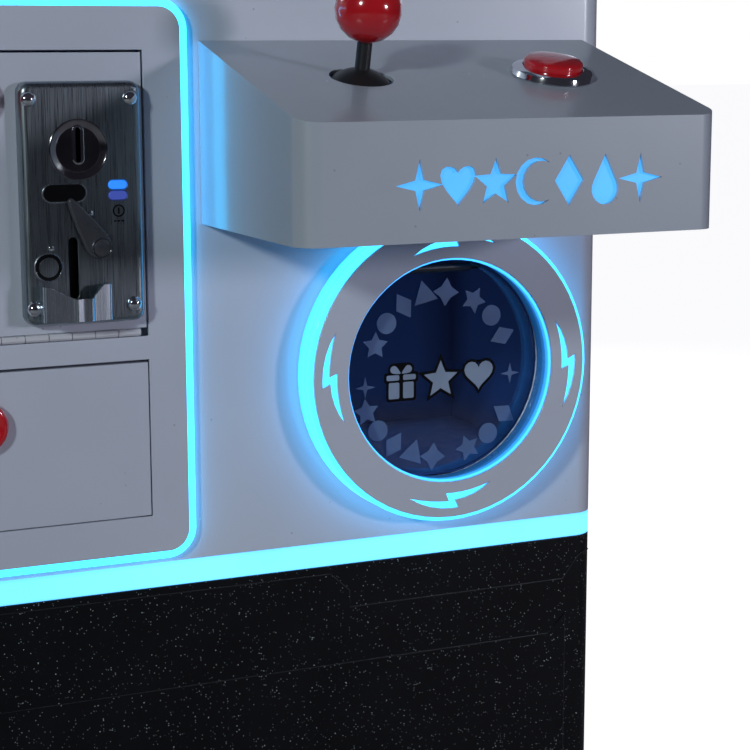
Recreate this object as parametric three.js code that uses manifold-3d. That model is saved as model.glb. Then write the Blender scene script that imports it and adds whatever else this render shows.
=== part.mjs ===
// A mini claw crane machine: a black base cabinet, a white lower body with a raised coin panel,
// a round lit prize door and a control box, a glass chamber, and the gantry that carries the claw.
// Millimetres, +Z up, the machine faces -Y and stands on z = 0, centred on the origin.

import * as THREE from 'three';
import { mergeVertices } from 'three/addons/utils/BufferGeometryUtils.js';
import Module from 'manifold-3d';

const wasm = await Module();
wasm.setup();

// ---------------------------------------------------------------- driving dimensions

const WIDTH = 530;
const BODY_DEPTH = 520;
const CONTROL_REACH = 145;
const TOTAL_HEIGHT = 1580;
const CORNER = 15;
const SHEET = 2;
const GAP = 0.3;
const FINE = 10;

const LEFT = -WIDTH / 2;
const RIGHT = WIDTH / 2;
const FRONT = (CONTROL_REACH - BODY_DEPTH) / 2;
const BACK = FRONT + BODY_DEPTH;

const CABINET_BOTTOM = 30;
const SKIRT_BOTTOM = 481;
const SKIRT_TOP = 495;
const PLAYFIELD_TOP = 800;
const PLAYFIELD_SHEET = 12;
const BODY_TOP = 845;
const GLASS_TOP = 1400;

const POST = 22;
const GLASS = 4;

// Raised coin panel: its outline, and the two doors in it.
const PANEL = { x: -116.2, half: 114.5, bottom: SKIRT_TOP + 8, top: 800, corner: 12 };
const PANEL_FACE = FRONT - 7;
const PANEL_SHEET = 2;
const PANEL_RIM = 4.5;
const DOOR_LEFT = -209;
const DOOR_RIGHT = -24;
const DOOR_SHEET = 1.5;
const DOOR_DEPTH = 12;
const CASH_DOOR = { bottom: SKIRT_TOP + 29.7, top: SKIRT_TOP + 115 };
const COIN_DOOR = { bottom: SKIRT_TOP + 134.2, top: SKIRT_TOP + 281 };
const HINGE = { y: FRONT - 6.5, z: SKIRT_TOP + 131.8, pitch: 12.7, count: 14, radius: 2, pin: 0.8 };

// Coin plates: a 65 x 127 mm plate at each end of the coin door.
const PLATE = { width: 65, height: 127, depth: 9, wall: 1.5, corner: 6, bottom: SKIRT_TOP + 139.4 };
const PLATE_OFFSET = 57.1;
const PLATE_FACE = PANEL_FACE - GAP - PLATE.depth;
const COIN_ENTRY = { x: -2.2, half: 1.35, bottom: 84, top: 105.6 };
const COIN_EXIT = { x: -6.5, half: 2.5, bottom: 13.5, top: 46 };
const COIN_CUP = { left: -25.5, right: 11.5, reach: 12, bottom: 3, top: 24, wall: 1.5 };
const LEVER_PIVOT = { x: 7.4, z: 40.7 };

// A cam lock: the collar stays in the door, and the plug turns with its cam.
const LOCK = { collar: 14.5, barrel: 9, plug: 6.5, proud: 6 };
const LOCK_BEHIND = DOOR_DEPTH + 1;
const LOCK_FACE = PANEL_FACE - GAP;
const CASH_LOCK = { x: PANEL.x, z: SKIRT_TOP + 87, cam: 38 };
const COIN_LOCK = { x: PANEL.x, z: SKIRT_TOP + 259, cam: 31 };

// Round prize door.
const RING = {
  x: 155.3, z: SKIRT_TOP + 98.8, outer: 86.5, inner: 65.5, rim: 89, proud: 19, face: 2,
  lip: 1.2, lipDepth: 4,
};
// Lightning bolts in the ring: two tapering arms, in degrees, that pass each other at a jog.
const BOLT = { radius: 76.8, arm: 20.2, jog: 3, notch: 1.4, half: 4.5, core: 0.3, tip: 2.85, bend: 1.75 };
const FLAP = { radius: 63.5, thick: 3, axis: 58, barrel: 2.6, barrelHalf: 20, pin: 1.5, pinHalf: 26.5 };
const PRIZE_BOX = { left: 68, right: 242, back: FRONT + 155, bottom: SKIRT_TOP + 32.8 };

// Control box: a lit front, and a top that slopes down towards the player.
const CONTROL = { left: 10.8, right: 248.6, bottom: SKIRT_TOP + 188.2, frontHeight: 60, corner: 12 };
const CONTROL_FRONT = FRONT - CONTROL_REACH;
const SLOPE = THREE.MathUtils.degToRad(15);
const STICK = { x: 75, reach: 72, pivot: 17, hole: 17, dome: 22 };
const BUTTON = { x: 188, reach: 72, hole: 19 };

// Gantry and claw, parked above the prize chute.
const PARK = { x: 155, y: -100 };
const RAIL_TOP = 1396;
const CLAW_TOP = 1350;
const CLAW_BOTTOM = 1304;
const FINGER_PIVOT = { radius: 20, z: 1292 };
const DRUM = { radius: 12, z: 1440 };

// ---------------------------------------------------------------- shape helpers

function box(x0, x1, y0, y1, z0, z1) {
  const geometry = new THREE.BoxGeometry(x1 - x0, y1 - y0, z1 - z0);
  return geometry.translate((x0 + x1) / 2, (y0 + y1) / 2, (z0 + z1) / 2);
}

function roundedRectangle(x0, x1, y0, y1, radius) {
  const shape = new THREE.Shape();
  shape.moveTo(x0 + radius, y0);
  shape.lineTo(x1 - radius, y0);
  shape.absarc(x1 - radius, y0 + radius, radius, -Math.PI / 2, 0);
  shape.lineTo(x1, y1 - radius);
  shape.absarc(x1 - radius, y1 - radius, radius, 0, Math.PI / 2);
  shape.lineTo(x0 + radius, y1);
  shape.absarc(x0 + radius, y1 - radius, radius, Math.PI / 2, Math.PI);
  shape.lineTo(x0, y0 + radius);
  shape.absarc(x0 + radius, y0 + radius, radius, Math.PI, 1.5 * Math.PI);
  return shape;
}

function polygon(points) {
  return new THREE.Shape(points.map(([x, y]) => new THREE.Vector2(x, y)));
}

// The shape lies in XY and rises from z0 to z1.
function raise(shape, z0, z1, curveSegments = 4) {
  const geometry = new THREE.ExtrudeGeometry(shape, { depth: z1 - z0, bevelEnabled: false, curveSegments });
  return geometry.translate(0, 0, z0);
}

// The shape lies in XZ, seen from the front, and runs from y0 back to y1.
function faceFront(shape, y0, y1, curveSegments = 5) {
  const geometry = new THREE.ExtrudeGeometry(shape, { depth: y1 - y0, bevelEnabled: false, curveSegments });
  return geometry.rotateX(Math.PI / 2).translate(0, y1, 0);
}

// The shape lies in YZ and runs from x0 to x1.
function faceSide(shape, x0, x1, curveSegments = 5) {
  const geometry = new THREE.ExtrudeGeometry(shape, { depth: x1 - x0, bevelEnabled: false, curveSegments });
  const turn = new THREE.Matrix4().set(0, 0, 1, 0, 1, 0, 0, 0, 0, 1, 0, 0, 0, 0, 0, 1);
  return geometry.applyMatrix4(turn).translate(x0, 0, 0);
}

function signedVolume(geometry) {
  const position = geometry.getAttribute('position');
  const index = geometry.index;
  const corner = [new THREE.Vector3(), new THREE.Vector3(), new THREE.Vector3()];
  let volume = 0;
  for (let i = 0; i < index.count; i += 3) {
    corner.forEach((vertex, k) => vertex.fromBufferAttribute(position, index.getX(i + k)));
    volume += corner[0].dot(corner[1].cross(corner[2])) / 6;
  }
  return volume;
}

// A profile of [radius, height] pairs turned about +Z. Its faces always end up pointing out.
function lathe(profile, segments = 20) {
  const points = profile.map(([radius, height]) => new THREE.Vector2(radius, height));
  const geometry = new THREE.LatheGeometry(points, segments).rotateX(Math.PI / 2);
  if (signedVolume(geometry) < 0) {
    const triangles = geometry.index.array;
    for (let i = 0; i < triangles.length; i += 3) {
      [triangles[i], triangles[i + 1]] = [triangles[i + 1], triangles[i]];
    }
  }
  return geometry;
}

// A turned piece whose heights run forwards, along -Y.
function latheForward(profile, x, y, z, segments = 20) {
  return lathe(profile, segments).rotateX(Math.PI / 2).translate(x, y, z);
}

function rod(axis, radius, from, to, centre, segments = 10) {
  const geometry = new THREE.CylinderGeometry(radius, radius, to - from, segments);
  geometry.translate(0, (from + to) / 2, 0);
  if (axis === 'x') geometry.rotateZ(-Math.PI / 2);
  if (axis === 'z') geometry.rotateX(Math.PI / 2);
  return geometry.translate(...centre);
}

function toSolid(geometry) {
  const bare = geometry.clone();
  bare.deleteAttribute('normal');
  bare.deleteAttribute('uv');
  const merged = mergeVertices(bare);
  const mesh = new wasm.Mesh({
    numProp: 3,
    vertProperties: Float32Array.from(merged.getAttribute('position').array),
    triVerts: Uint32Array.from(merged.index.array),
  });
  return new wasm.Manifold(mesh);
}

function fromSolid(solid) {
  const mesh = solid.getMesh();
  const geometry = new THREE.BufferGeometry();
  geometry.setAttribute('position', new THREE.BufferAttribute(mesh.vertProperties, 3));
  geometry.setIndex(new THREE.BufferAttribute(mesh.triVerts, 1));
  return geometry;
}

function cut(base, ...tools) {
  return fromSolid(tools.reduce((solid, tool) => solid.subtract(toSolid(tool)), toSolid(base)));
}

function join(base, ...others) {
  return fromSolid(others.reduce((solid, other) => solid.add(toSolid(other)), toSolid(base)));
}

function common(one, other) {
  return fromSolid(toSolid(one).intersect(toSolid(other)));
}

// ---------------------------------------------------------------- materials and placing

const machine = new THREE.Group();

const finish = {
  whitePaint: () => new THREE.MeshStandardMaterial({ color: 0xd9dce6, roughness: 0.3, metalness: 0 }),
  blackPaint: () => new THREE.MeshStandardMaterial({ color: 0x08090c, roughness: 0.25, metalness: 0.1 }),
  navyPlastic: () => new THREE.MeshStandardMaterial({ color: 0x1b2f57, roughness: 0.5, metalness: 0 }),
  blackPlastic: () => new THREE.MeshStandardMaterial({ color: 0x111214, roughness: 0.5, metalness: 0 }),
  redPlastic: () => new THREE.MeshStandardMaterial({ color: 0xb80f1c, roughness: 0.25, metalness: 0 }),
  cyanLight: () => new THREE.MeshStandardMaterial({ color: 0x7dfbff, roughness: 0.4, metalness: 0 }),
  brushedSteel: () => new THREE.MeshStandardMaterial({ color: 0x9a9da3, roughness: 0.35, metalness: 1 }),
  chrome: () => new THREE.MeshStandardMaterial({ color: 0xdfe2e6, roughness: 0.12, metalness: 1 }),
  rubber: () => new THREE.MeshStandardMaterial({ color: 0x18181a, roughness: 0.8, metalness: 0 }),
  clear: () => new THREE.MeshStandardMaterial({
    color: 0xbfd8ea, roughness: 0.05, metalness: 0, transparent: true, opacity: 0.35,
  }),
  printedBack: () => new THREE.MeshStandardMaterial({ color: 0x9fc4ea, roughness: 0.4, metalness: 0 }),
  playMat: () => new THREE.MeshStandardMaterial({ color: 0xe9edf5, roughness: 0.6, metalness: 0 }),
};

function add(name, geometry, material, parent = machine) {
  const mesh = new THREE.Mesh(geometry, material);
  mesh.name = name;
  parent.add(mesh);
}

// ---------------------------------------------------------------- base cabinet and skirt

function bodyOutline(inset) {
  const radius = Math.max(CORNER - inset, 2);
  return roundedRectangle(LEFT + inset, RIGHT - inset, FRONT + inset, BACK - inset, radius);
}

// A folded tray: a face sheet with rims on the sides that are asked for, open towards +Y.
function doorTray(x0, x1, z0, z1, { bottomRim }) {
  const face = PANEL_FACE;
  const cavityBottom = bottomRim ? z0 + DOOR_SHEET : z0 - 1;
  return cut(
    box(x0, x1, face, face + DOOR_DEPTH, z0, z1),
    box(x0 + DOOR_SHEET, x1 - DOOR_SHEET, face + DOOR_SHEET, face + DOOR_DEPTH + 1,
      cavityBottom, z1 - DOOR_SHEET),
  );
}

// A door on the machine's back: the same tray, turned to open inwards.
function rearTray(x0, x1, z0, z1) {
  return cut(
    box(x0, x1, BACK - DOOR_DEPTH, BACK, z0, z1),
    box(x0 + DOOR_SHEET, x1 - DOOR_SHEET, BACK - DOOR_DEPTH - 1, BACK - DOOR_SHEET,
      z0 + DOOR_SHEET, z1 - DOOR_SHEET),
  );
}

const BASE_OPENING = { half: 205, bottom: 62, top: 450 };
const SERVICE_OPENING = { half: 165, bottom: 560, top: 770 };

function levellingFeet() {
  const top = CABINET_BOTTOM - GAP;
  const profile = [[0, 0], [24, 0], [25, 3], [22, 10], [9, 13], [6, 14], [6, top], [0, top]];
  const inset = 45;
  for (const [side, x] of [['left', LEFT + inset], ['right', RIGHT - inset]]) {
    for (const [end, y] of [['front', FRONT + inset], ['rear', BACK - inset]]) {
      add(`foot_${end}_${side}`, lathe(profile, 16).translate(x, y, 0), finish.rubber());
    }
  }
}

function baseCabinet() {
  const top = SKIRT_BOTTOM - GAP;
  const { half, bottom, top: openingTop } = BASE_OPENING;
  add('base_cabinet', cut(
    raise(bodyOutline(0), CABINET_BOTTOM, top),
    raise(bodyOutline(SHEET), CABINET_BOTTOM + SHEET, top - SHEET),
    box(-half, half, BACK - 2 * SHEET, BACK + 1, bottom, openingTop),
  ), finish.blackPaint());
  add('base_door', rearTray(-half + 1, half - 1, bottom + 1, openingTop - 1), finish.blackPaint());
}

function lightSkirt() {
  const wall = 10;
  add('light_skirt', cut(
    raise(bodyOutline(0), SKIRT_BOTTOM, SKIRT_TOP - GAP, FINE),
    raise(bodyOutline(wall), SKIRT_BOTTOM - 1, SKIRT_TOP + 1),
  ), finish.cyanLight());
}

// ---------------------------------------------------------------- lower body

const INLET = { x: -205, z: 530, halfWidth: 34, halfHeight: 15 };

function lowerBody() {
  const top = BODY_TOP - GAP;
  const ledge = 785;
  const flange = 20;
  const doorGap = 1.2;
  const { half, bottom, top: openingTop } = SERVICE_OPENING;
  const frontCut = [FRONT - 1, FRONT + 2 * SHEET];
  add('lower_body', cut(
    raise(bodyOutline(0), SKIRT_TOP, top),
    raise(bodyOutline(SHEET), SKIRT_TOP + SHEET, ledge),
    box(LEFT + 20, RIGHT - 20, FRONT + SHEET, BACK - 20, ledge - 1, ledge + 3.5),
    raise(bodyOutline(SHEET), ledge + 3, top - SHEET),
    raise(bodyOutline(flange), top - SHEET - 1, top + 1),
    box(DOOR_LEFT - 1, DOOR_RIGHT + doorGap, ...frontCut, CASH_DOOR.bottom - 1, CASH_DOOR.top + doorGap),
    box(DOOR_LEFT - 1, DOOR_RIGHT + doorGap, ...frontCut, COIN_DOOR.bottom - 1, COIN_DOOR.top + doorGap),
    rod('y', RING.inner + 0.5, ...frontCut, [RING.x, 0, RING.z], 48),
    box(120, 160, ...frontCut, 700, 725),
    box(-half, half, BACK - 2 * SHEET, BACK + 1, bottom, openingTop),
    box(INLET.x - INLET.halfWidth + 2, INLET.x + INLET.halfWidth - 2, BACK - 2 * SHEET, BACK + 1,
      INLET.z - INLET.halfHeight + 2, INLET.z + INLET.halfHeight - 2),
  ), finish.whitePaint());
  add('service_door', rearTray(-half + 1, half - 1, bottom + 1, openingTop - 1), finish.whitePaint());
}

function powerInlet() {
  const face = BACK - SHEET - GAP;
  const depth = 26;
  const { x, z, halfWidth, halfHeight } = INLET;
  const socket = { x: x - 12, halfWidth: 12, halfHeight: 8 };
  const switchX = x + 18;
  const pinSpacing = 7;
  const pins = [-1, 0, 1].map((side) => {
    return box(socket.x + side * pinSpacing - 1, socket.x + side * pinSpacing + 1,
      face - 19, face - 4, z - 2, z + 2);
  });
  const body = cut(
    box(x - halfWidth, x + halfWidth, face - depth, face, z - halfHeight, z + halfHeight),
    box(socket.x - socket.halfWidth, socket.x + socket.halfWidth, face - 18, face + 1,
      z - socket.halfHeight, z + socket.halfHeight),
    box(switchX - 7.2, switchX + 7.2, face - 14, face + 1, z - 11.5, z + 11.5),
  );
  add('power_inlet', join(body, ...pins), finish.blackPlastic());

  const rocker = new THREE.Group();
  rocker.position.set(switchX, face - 6, z);
  rocker.rotation.x = THREE.MathUtils.degToRad(-8);
  const profile = polygon([[-4, -9], [5, -9.5], [3.8, 0], [5, 9.5], [-4, 9]]);
  add('power_switch', faceSide(profile, -6.8, 6.8), finish.blackPlastic(), rocker);
  machine.add(rocker);
}

// ---------------------------------------------------------------- coin panel, doors and coin plates

function panelOutline(grow) {
  const { x, half, bottom, top, corner } = PANEL;
  return roundedRectangle(x - half - grow, x + half + grow, bottom - grow, top + grow, corner + grow);
}

function coinPanel() {
  const back = PANEL_FACE + PANEL_SHEET;
  const doorGap = 1.2;
  const through = [PANEL_FACE - 1, back + 1];
  add('coin_panel', cut(
    faceFront(panelOutline(0), PANEL_FACE, back, FINE),
    box(DOOR_LEFT - 1, DOOR_RIGHT + doorGap, ...through, CASH_DOOR.bottom - 0.8, CASH_DOOR.top + 1.4),
    box(DOOR_LEFT - 1, DOOR_RIGHT + doorGap, ...through, HINGE.z - 2.4, COIN_DOOR.top + doorGap),
  ), finish.whitePaint());

  const inset = 18;
  add('coin_panel_light', cut(
    faceFront(panelOutline(PANEL_RIM), back + GAP, FRONT - GAP, FINE),
    box(PANEL.x - PANEL.half + inset, PANEL.x + PANEL.half - inset, PANEL_FACE, FRONT + 1,
      PANEL.bottom + inset, PANEL.top - inset + 3),
  ), finish.cyanLight());
}

// The piano hinge's knuckles take turns between the leaf on the panel and the leaf on the door.
function knuckleSpan(index) {
  const start = PANEL.x - (HINGE.count * HINGE.pitch) / 2 + index * HINGE.pitch;
  return [start + 0.2, start + HINGE.pitch - 0.2];
}

function coinHinge() {
  const centre = [0, HINGE.y, HINGE.z];
  const [start] = knuckleSpan(0);
  const [, end] = knuckleSpan(HINGE.count - 1);
  const leafFront = PANEL_FACE + PANEL_SHEET + 0.4;
  const fixed = [rod('x', HINGE.pin, start, end, centre, 10)];
  const moving = [];
  for (let i = 0; i < HINGE.count; i += 1) {
    const [x0, x1] = knuckleSpan(i);
    if (i % 2 === 0) {
      fixed.push(rod('x', HINGE.radius, x0, x1, centre));
      fixed.push(box(x0, x1, HINGE.y + 1, leafFront + 1, HINGE.z - 2.1, HINGE.z + 0.4));
    } else {
      moving.push(rod('x', HINGE.radius, x0, x1, centre));
      moving.push(box(x0, x1, HINGE.y + 1.3, HINGE.y + 2.3, HINGE.z, COIN_DOOR.bottom + 1));
    }
  }
  const fixedLeaf = box(start, end, leafFront, leafFront + 1, HINGE.z - 14, HINGE.z - 1.9);
  const doorLeaf = box(start, end, HINGE.y + 1.3, HINGE.y + 2.3,
    COIN_DOOR.bottom + 0.5, COIN_DOOR.bottom + 5);
  add('coin_hinge_fixed_leaf', join(fixedLeaf, ...fixed), finish.brushedSteel());
  add('coin_hinge_door_leaf', cut(
    join(doorLeaf, ...moving),
    rod('x', HINGE.pin + 0.3, start - 1, end + 1, centre, 10),
  ), finish.brushedSteel());
}

function coinDoor() {
  const openings = [-1, 1].map((side) => {
    const x = PANEL.x + side * PLATE_OFFSET;
    return box(x - 26, x + 26, PANEL_FACE - 1, PANEL_FACE + 3, PLATE.bottom + 5, PLATE.bottom + 118);
  });
  add('coin_door', cut(
    doorTray(DOOR_LEFT, DOOR_RIGHT, COIN_DOOR.bottom, COIN_DOOR.top, { bottomRim: false }),
    ...openings,
    lockHole(COIN_LOCK),
  ), finish.whitePaint());
  const web = rod('y', LOCK.plug + 1, PANEL_FACE - 2, PANEL_FACE, [COIN_LOCK.x, 0, COIN_LOCK.z]);
  add('coin_door_lock', join(lockCollar(COIN_LOCK), web, lockPlug(COIN_LOCK)), finish.redPlastic());
}

function uprightSlot({ x, half, bottom, top }, y0, y1) {
  return box(x - half, x + half, y0, y1, bottom, top);
}

// Local to a plate: x from its centre line, z from its bottom edge, y from the machine's frame.
function coinPlate() {
  const { width, height, depth, wall, corner } = PLATE;
  const half = width / 2;
  const slotCut = [PLATE_FACE - 1, PLATE_FACE + wall + 1];
  const tray = cut(
    faceFront(roundedRectangle(-half, half, 0, height, corner), PLATE_FACE, PLATE_FACE + depth),
    faceFront(roundedRectangle(-half + wall, half - wall, wall, height - wall, corner - wall),
      PLATE_FACE + wall, PLATE_FACE + depth + 1),
    uprightSlot(COIN_EXIT, ...slotCut),
    uprightSlot(COIN_ENTRY, ...slotCut),
    box(13.2, 23.6, ...slotCut, 70.5, 75.5),
    box(13.2, 23.6, ...slotCut, 65, 70),
  );
  const { left, right, reach, bottom, top, wall: sheet } = COIN_CUP;
  const cup = cut(
    box(left, right, PLATE_FACE - reach, PLATE_FACE + 0.5, bottom, top),
    box(left + sheet, right - sheet, PLATE_FACE - reach + sheet, PLATE_FACE - 0.5, bottom + sheet, top + 1),
    uprightSlot(COIN_EXIT, PLATE_FACE - 2, PLATE_FACE + 3),
  );
  return join(tray, cup);
}

function coinSelector() {
  const back = PANEL_FACE + 61;
  const body = cut(
    box(-25, 25, PANEL_FACE + GAP, back, 6, 112),
    box(-27, 27, back - 16, back + 1, 70, 113),
    box(-27, 27, back - 10, back + 1, 5, 24),
  );
  const chute = { ...COIN_ENTRY, half: 1.5, bottom: 60, top: 113 };
  return cut(body, uprightSlot(chute, PANEL_FACE - 1, back - 18));
}

function returnLever() {
  const face = PLATE_FACE - GAP;
  const arm = polygon([[-5.5, 0], [-4.2, -3.6], [0, -5.5], [4.2, -3.6], [5.5, 0], [4, 6],
    [-8, 25], [-14, 28.5], [-21, 28], [-22.5, 25], [-19.5, 22.5], [-13, 20]]);
  return join(
    faceFront(arm, face - 7.5, face - 4.5),
    rod('y', 5.4, face - 5, face, [0, 0, 0], 16),
  );
}

function coinMechs() {
  for (const [side, label] of [[-1, 'left'], [1, 'right']]) {
    const mech = new THREE.Group();
    mech.position.set(PANEL.x + side * PLATE_OFFSET, 0, PLATE.bottom);
    add(`coin_plate_${label}`, coinPlate(), finish.brushedSteel(), mech);
    add(`coin_selector_${label}`, coinSelector(), finish.blackPlastic(), mech);
    const lever = new THREE.Group();
    lever.position.set(LEVER_PIVOT.x, 0, LEVER_PIVOT.z);
    add(`coin_return_lever_${label}`, returnLever(), finish.chrome(), lever);
    mech.add(lever);
    machine.add(mech);
  }
}

function lockHole({ x, z }) {
  return rod('y', LOCK.barrel + 0.5, PANEL_FACE - 1, PANEL_FACE + 3, [x, 0, z], 24);
}

function lockCollar({ x, z }) {
  const { collar, barrel, proud, plug } = LOCK;
  const bore = plug + GAP;
  return latheForward([
    [bore, -LOCK_BEHIND], [barrel, -LOCK_BEHIND], [barrel, 0], [collar, 0], [collar, proud * 0.6],
    [collar - 2.5, proud], [bore + 1, proud], [bore, proud - 1], [bore, -LOCK_BEHIND],
  ], x, LOCK_FACE, z);
}

function lockPlug({ x, z, cam }) {
  const { proud, plug } = LOCK;
  const head = proud - 1.6;
  const body = latheForward([[0, -LOCK_BEHIND - 1], [plug, -LOCK_BEHIND - 1], [plug, head], [0, head]],
    x, LOCK_FACE, z);
  const keyway = box(x - 0.8, x + 0.8, LOCK_FACE - proud, LOCK_FACE - proud + 4, z - 3.5, z + 3.5);
  const camFront = LOCK_FACE + LOCK_BEHIND + 0.5;
  return join(cut(body, keyway), box(x - 7, x + cam, camFront, camFront + 2.5, z - 6, z + 6));
}

function cashDoor() {
  add('cash_door', cut(
    doorTray(DOOR_LEFT, DOOR_RIGHT + 0.3, CASH_DOOR.bottom, CASH_DOOR.top, { bottomRim: true }),
    lockHole(CASH_LOCK),
  ), finish.whitePaint());
  add('cash_lock_collar', lockCollar(CASH_LOCK), finish.redPlastic());
  add('cash_lock_plug', lockPlug(CASH_LOCK), finish.brushedSteel());
}

function cashBin() {
  const bin = {
    left: -204, right: -30, front: FRONT + 18, back: FRONT + 170, bottom: 500, top: 602, wall: 1.5,
  };
  add('cash_bin', cut(
    box(bin.left, bin.right, bin.front, bin.back, bin.bottom, bin.top),
    box(bin.left + bin.wall, bin.right - bin.wall, bin.front + bin.wall, bin.back - bin.wall,
      bin.bottom + bin.wall, bin.top + 1),
  ), finish.brushedSteel());
}

// ---------------------------------------------------------------- round prize door

// One bolt-shaped slot round the ring, centred on an angle.
function boltSlot(middleDegrees) {
  const { arm, jog, notch, half, core, tip, bend } = BOLT;
  const steps = 4;
  const oneHalf = [];
  for (let i = steps; i >= 0; i -= 1) {
    const along = i / steps;
    oneHalf.push([-arm * along, half - (half - tip) * along ** 2]);
  }
  oneHalf.push([jog, half]);
  for (let i = 0; i < steps; i += 1) {
    const angle = notch + ((arm - notch) * i) / steps;
    oneHalf.push([angle, -core - (tip - core) * (angle / arm) ** 2]);
  }
  const outline = [...oneHalf, ...oneHalf.map(([angle, radius]) => [-angle, -radius])];
  return polygon(outline.map(([angle, radius]) => {
    const turn = THREE.MathUtils.degToRad(middleDegrees + angle);
    const reach = BOLT.radius + radius - bend * (angle / arm) ** 2;
    return [RING.x + reach * Math.cos(turn), RING.z + reach * Math.sin(turn)];
  }));
}

function prizeRing() {
  const { x, z, outer, inner, rim, proud, face } = RING;
  const ringFace = latheForward([[inner, 0], [outer, 0], [outer, face], [inner, face], [inner, 0]],
    x, FRONT - proud + face, z, 64);
  const slots = [0, 90, 180, 270].map((middle) => {
    return faceFront(boltSlot(middle), FRONT - proud - 1, FRONT - proud + face + 1);
  });
  add('prize_ring_face', cut(ringFace, ...slots), finish.whitePaint());
  const depth = proud - face - 2 * GAP;
  const lip = inner - RING.lip;
  const lipBack = depth - RING.lipDepth;
  add('prize_ring_light', latheForward([
    [inner, 0], [rim, 0], [rim, depth], [lip, depth], [lip, lipBack], [inner, lipBack], [inner, 0],
  ], x, FRONT - GAP, z, 64), finish.cyanLight());
}

function prizeFlap() {
  const { radius, thick, axis, barrel, barrelHalf, pin, pinHalf } = FLAP;
  const y = FRONT - 0.5;
  const centre = [RING.x, y, RING.z + axis];
  add('prize_flap', join(
    rod('y', radius, y - thick / 2, y + thick / 2, [RING.x, 0, RING.z], 64),
    rod('x', barrel, -barrelHalf, barrelHalf, centre),
    rod('x', pin, -pinHalf, pinHalf, centre),
  ), finish.clear());
}

function prizeBox() {
  const { left, right, back, bottom } = PRIZE_BOX;
  const front = FRONT + SHEET + GAP;
  const wall = 2;
  const rim = PLAYFIELD_TOP - PLAYFIELD_SHEET - GAP;
  add('prize_box', cut(
    box(left, right, front, back, bottom, rim),
    box(left + wall, right - wall, front + wall, back - wall, bottom + wall, rim + 1),
    rod('y', RING.inner + 3, front - 1, front + wall + 1, [RING.x, 0, RING.z], 48),
  ), finish.navyPlastic());
}

// ---------------------------------------------------------------- control box

// Cut-out ornaments, each drawn about its own centre within about 20 x 26 mm.
function star(points, outer, inner) {
  const corners = [];
  for (let i = 0; i < 2 * points; i += 1) {
    const angle = Math.PI / 2 + (i * Math.PI) / points;
    const radius = i % 2 === 0 ? outer : inner;
    corners.push([radius * Math.cos(angle), radius * Math.sin(angle)]);
  }
  return corners;
}

function heart() {
  const corners = [];
  const steps = 24;
  for (let i = 0; i < steps; i += 1) {
    const t = (2 * Math.PI * i) / steps;
    const x = 10 * Math.sin(t) ** 3;
    const z = 9.5 * Math.cos(t) - 3.6 * Math.cos(2 * t) - 1.2 * Math.cos(3 * t);
    corners.push([x, z + 1]);
  }
  return corners;
}

function crescent() {
  const corners = [];
  const steps = 12;
  for (let i = 0; i <= steps; i += 1) {
    const angle = THREE.MathUtils.degToRad(50 + (260 * i) / steps);
    corners.push([12 * Math.cos(angle) + 2, 12 * Math.sin(angle)]);
  }
  for (let i = 1; i < steps; i += 1) {
    const angle = THREE.MathUtils.degToRad(297 - (234 * i) / steps);
    corners.push([10.3 * Math.cos(angle) + 5.1, 10.3 * Math.sin(angle)]);
  }
  return corners;
}

function drop() {
  const corners = [[0, 13]];
  const steps = 12;
  for (let i = 0; i <= steps; i += 1) {
    const angle = THREE.MathUtils.degToRad(150 + (240 * i) / steps);
    corners.push([8 * Math.cos(angle), 8 * Math.sin(angle) - 5]);
  }
  return corners;
}

const DIAMOND = [[0, 13], [8.5, 0], [0, -13], [-8.5, 0]];
const SPARKLE = star(4, 13, 3.6);
const ORNAMENTS = [SPARKLE, heart(), star(5, 12.5, 5.4), crescent(), DIAMOND, drop(), SPARKLE];
const ORNAMENT_ROW = { x: 137, z: SKIRT_TOP + 216.6, pitch: 21 };

function controlProfile(inset, back) {
  const front = CONTROL_FRONT + inset;
  const bottom = CONTROL.bottom + inset;
  const lift = Math.tan(SLOPE);
  const frontTop = CONTROL.bottom + CONTROL.frontHeight + inset * lift - inset / Math.cos(SLOPE);
  const backTop = frontTop + (back - front) * lift;
  return polygon([[front, bottom], [back, bottom], [back, backTop], [front, frontTop]]);
}

function controlPlan(inset, back) {
  const { left, right, corner } = CONTROL;
  const radius = corner - inset;
  return roundedRectangle(left + inset, right - inset, CONTROL_FRONT + inset, back + corner, radius);
}

function controlSolid(inset, back) {
  const { left, right, bottom } = CONTROL;
  return common(
    faceSide(controlProfile(inset, back), left - 1, right + 1),
    raise(controlPlan(inset, back), bottom - 1, bottom + 200, FINE),
  );
}

// Height of the sloping top at a distance in front of the wall.
function controlTop(reach) {
  return CONTROL.bottom + CONTROL.frontHeight + (CONTROL_REACH - reach) * Math.tan(SLOPE);
}

// A group whose +Z stands square on the sloping top.
function onControlTop({ x, reach }) {
  const group = new THREE.Group();
  group.position.set(x, FRONT - reach, controlTop(reach));
  group.rotation.x = SLOPE;
  machine.add(group);
  return group;
}

function slopedHole({ x, reach, hole }) {
  const drill = rod('z', hole, -10, 10, [0, 0, 0], 32);
  return drill.rotateX(SLOPE).translate(x, FRONT - reach, controlTop(reach));
}

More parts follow.
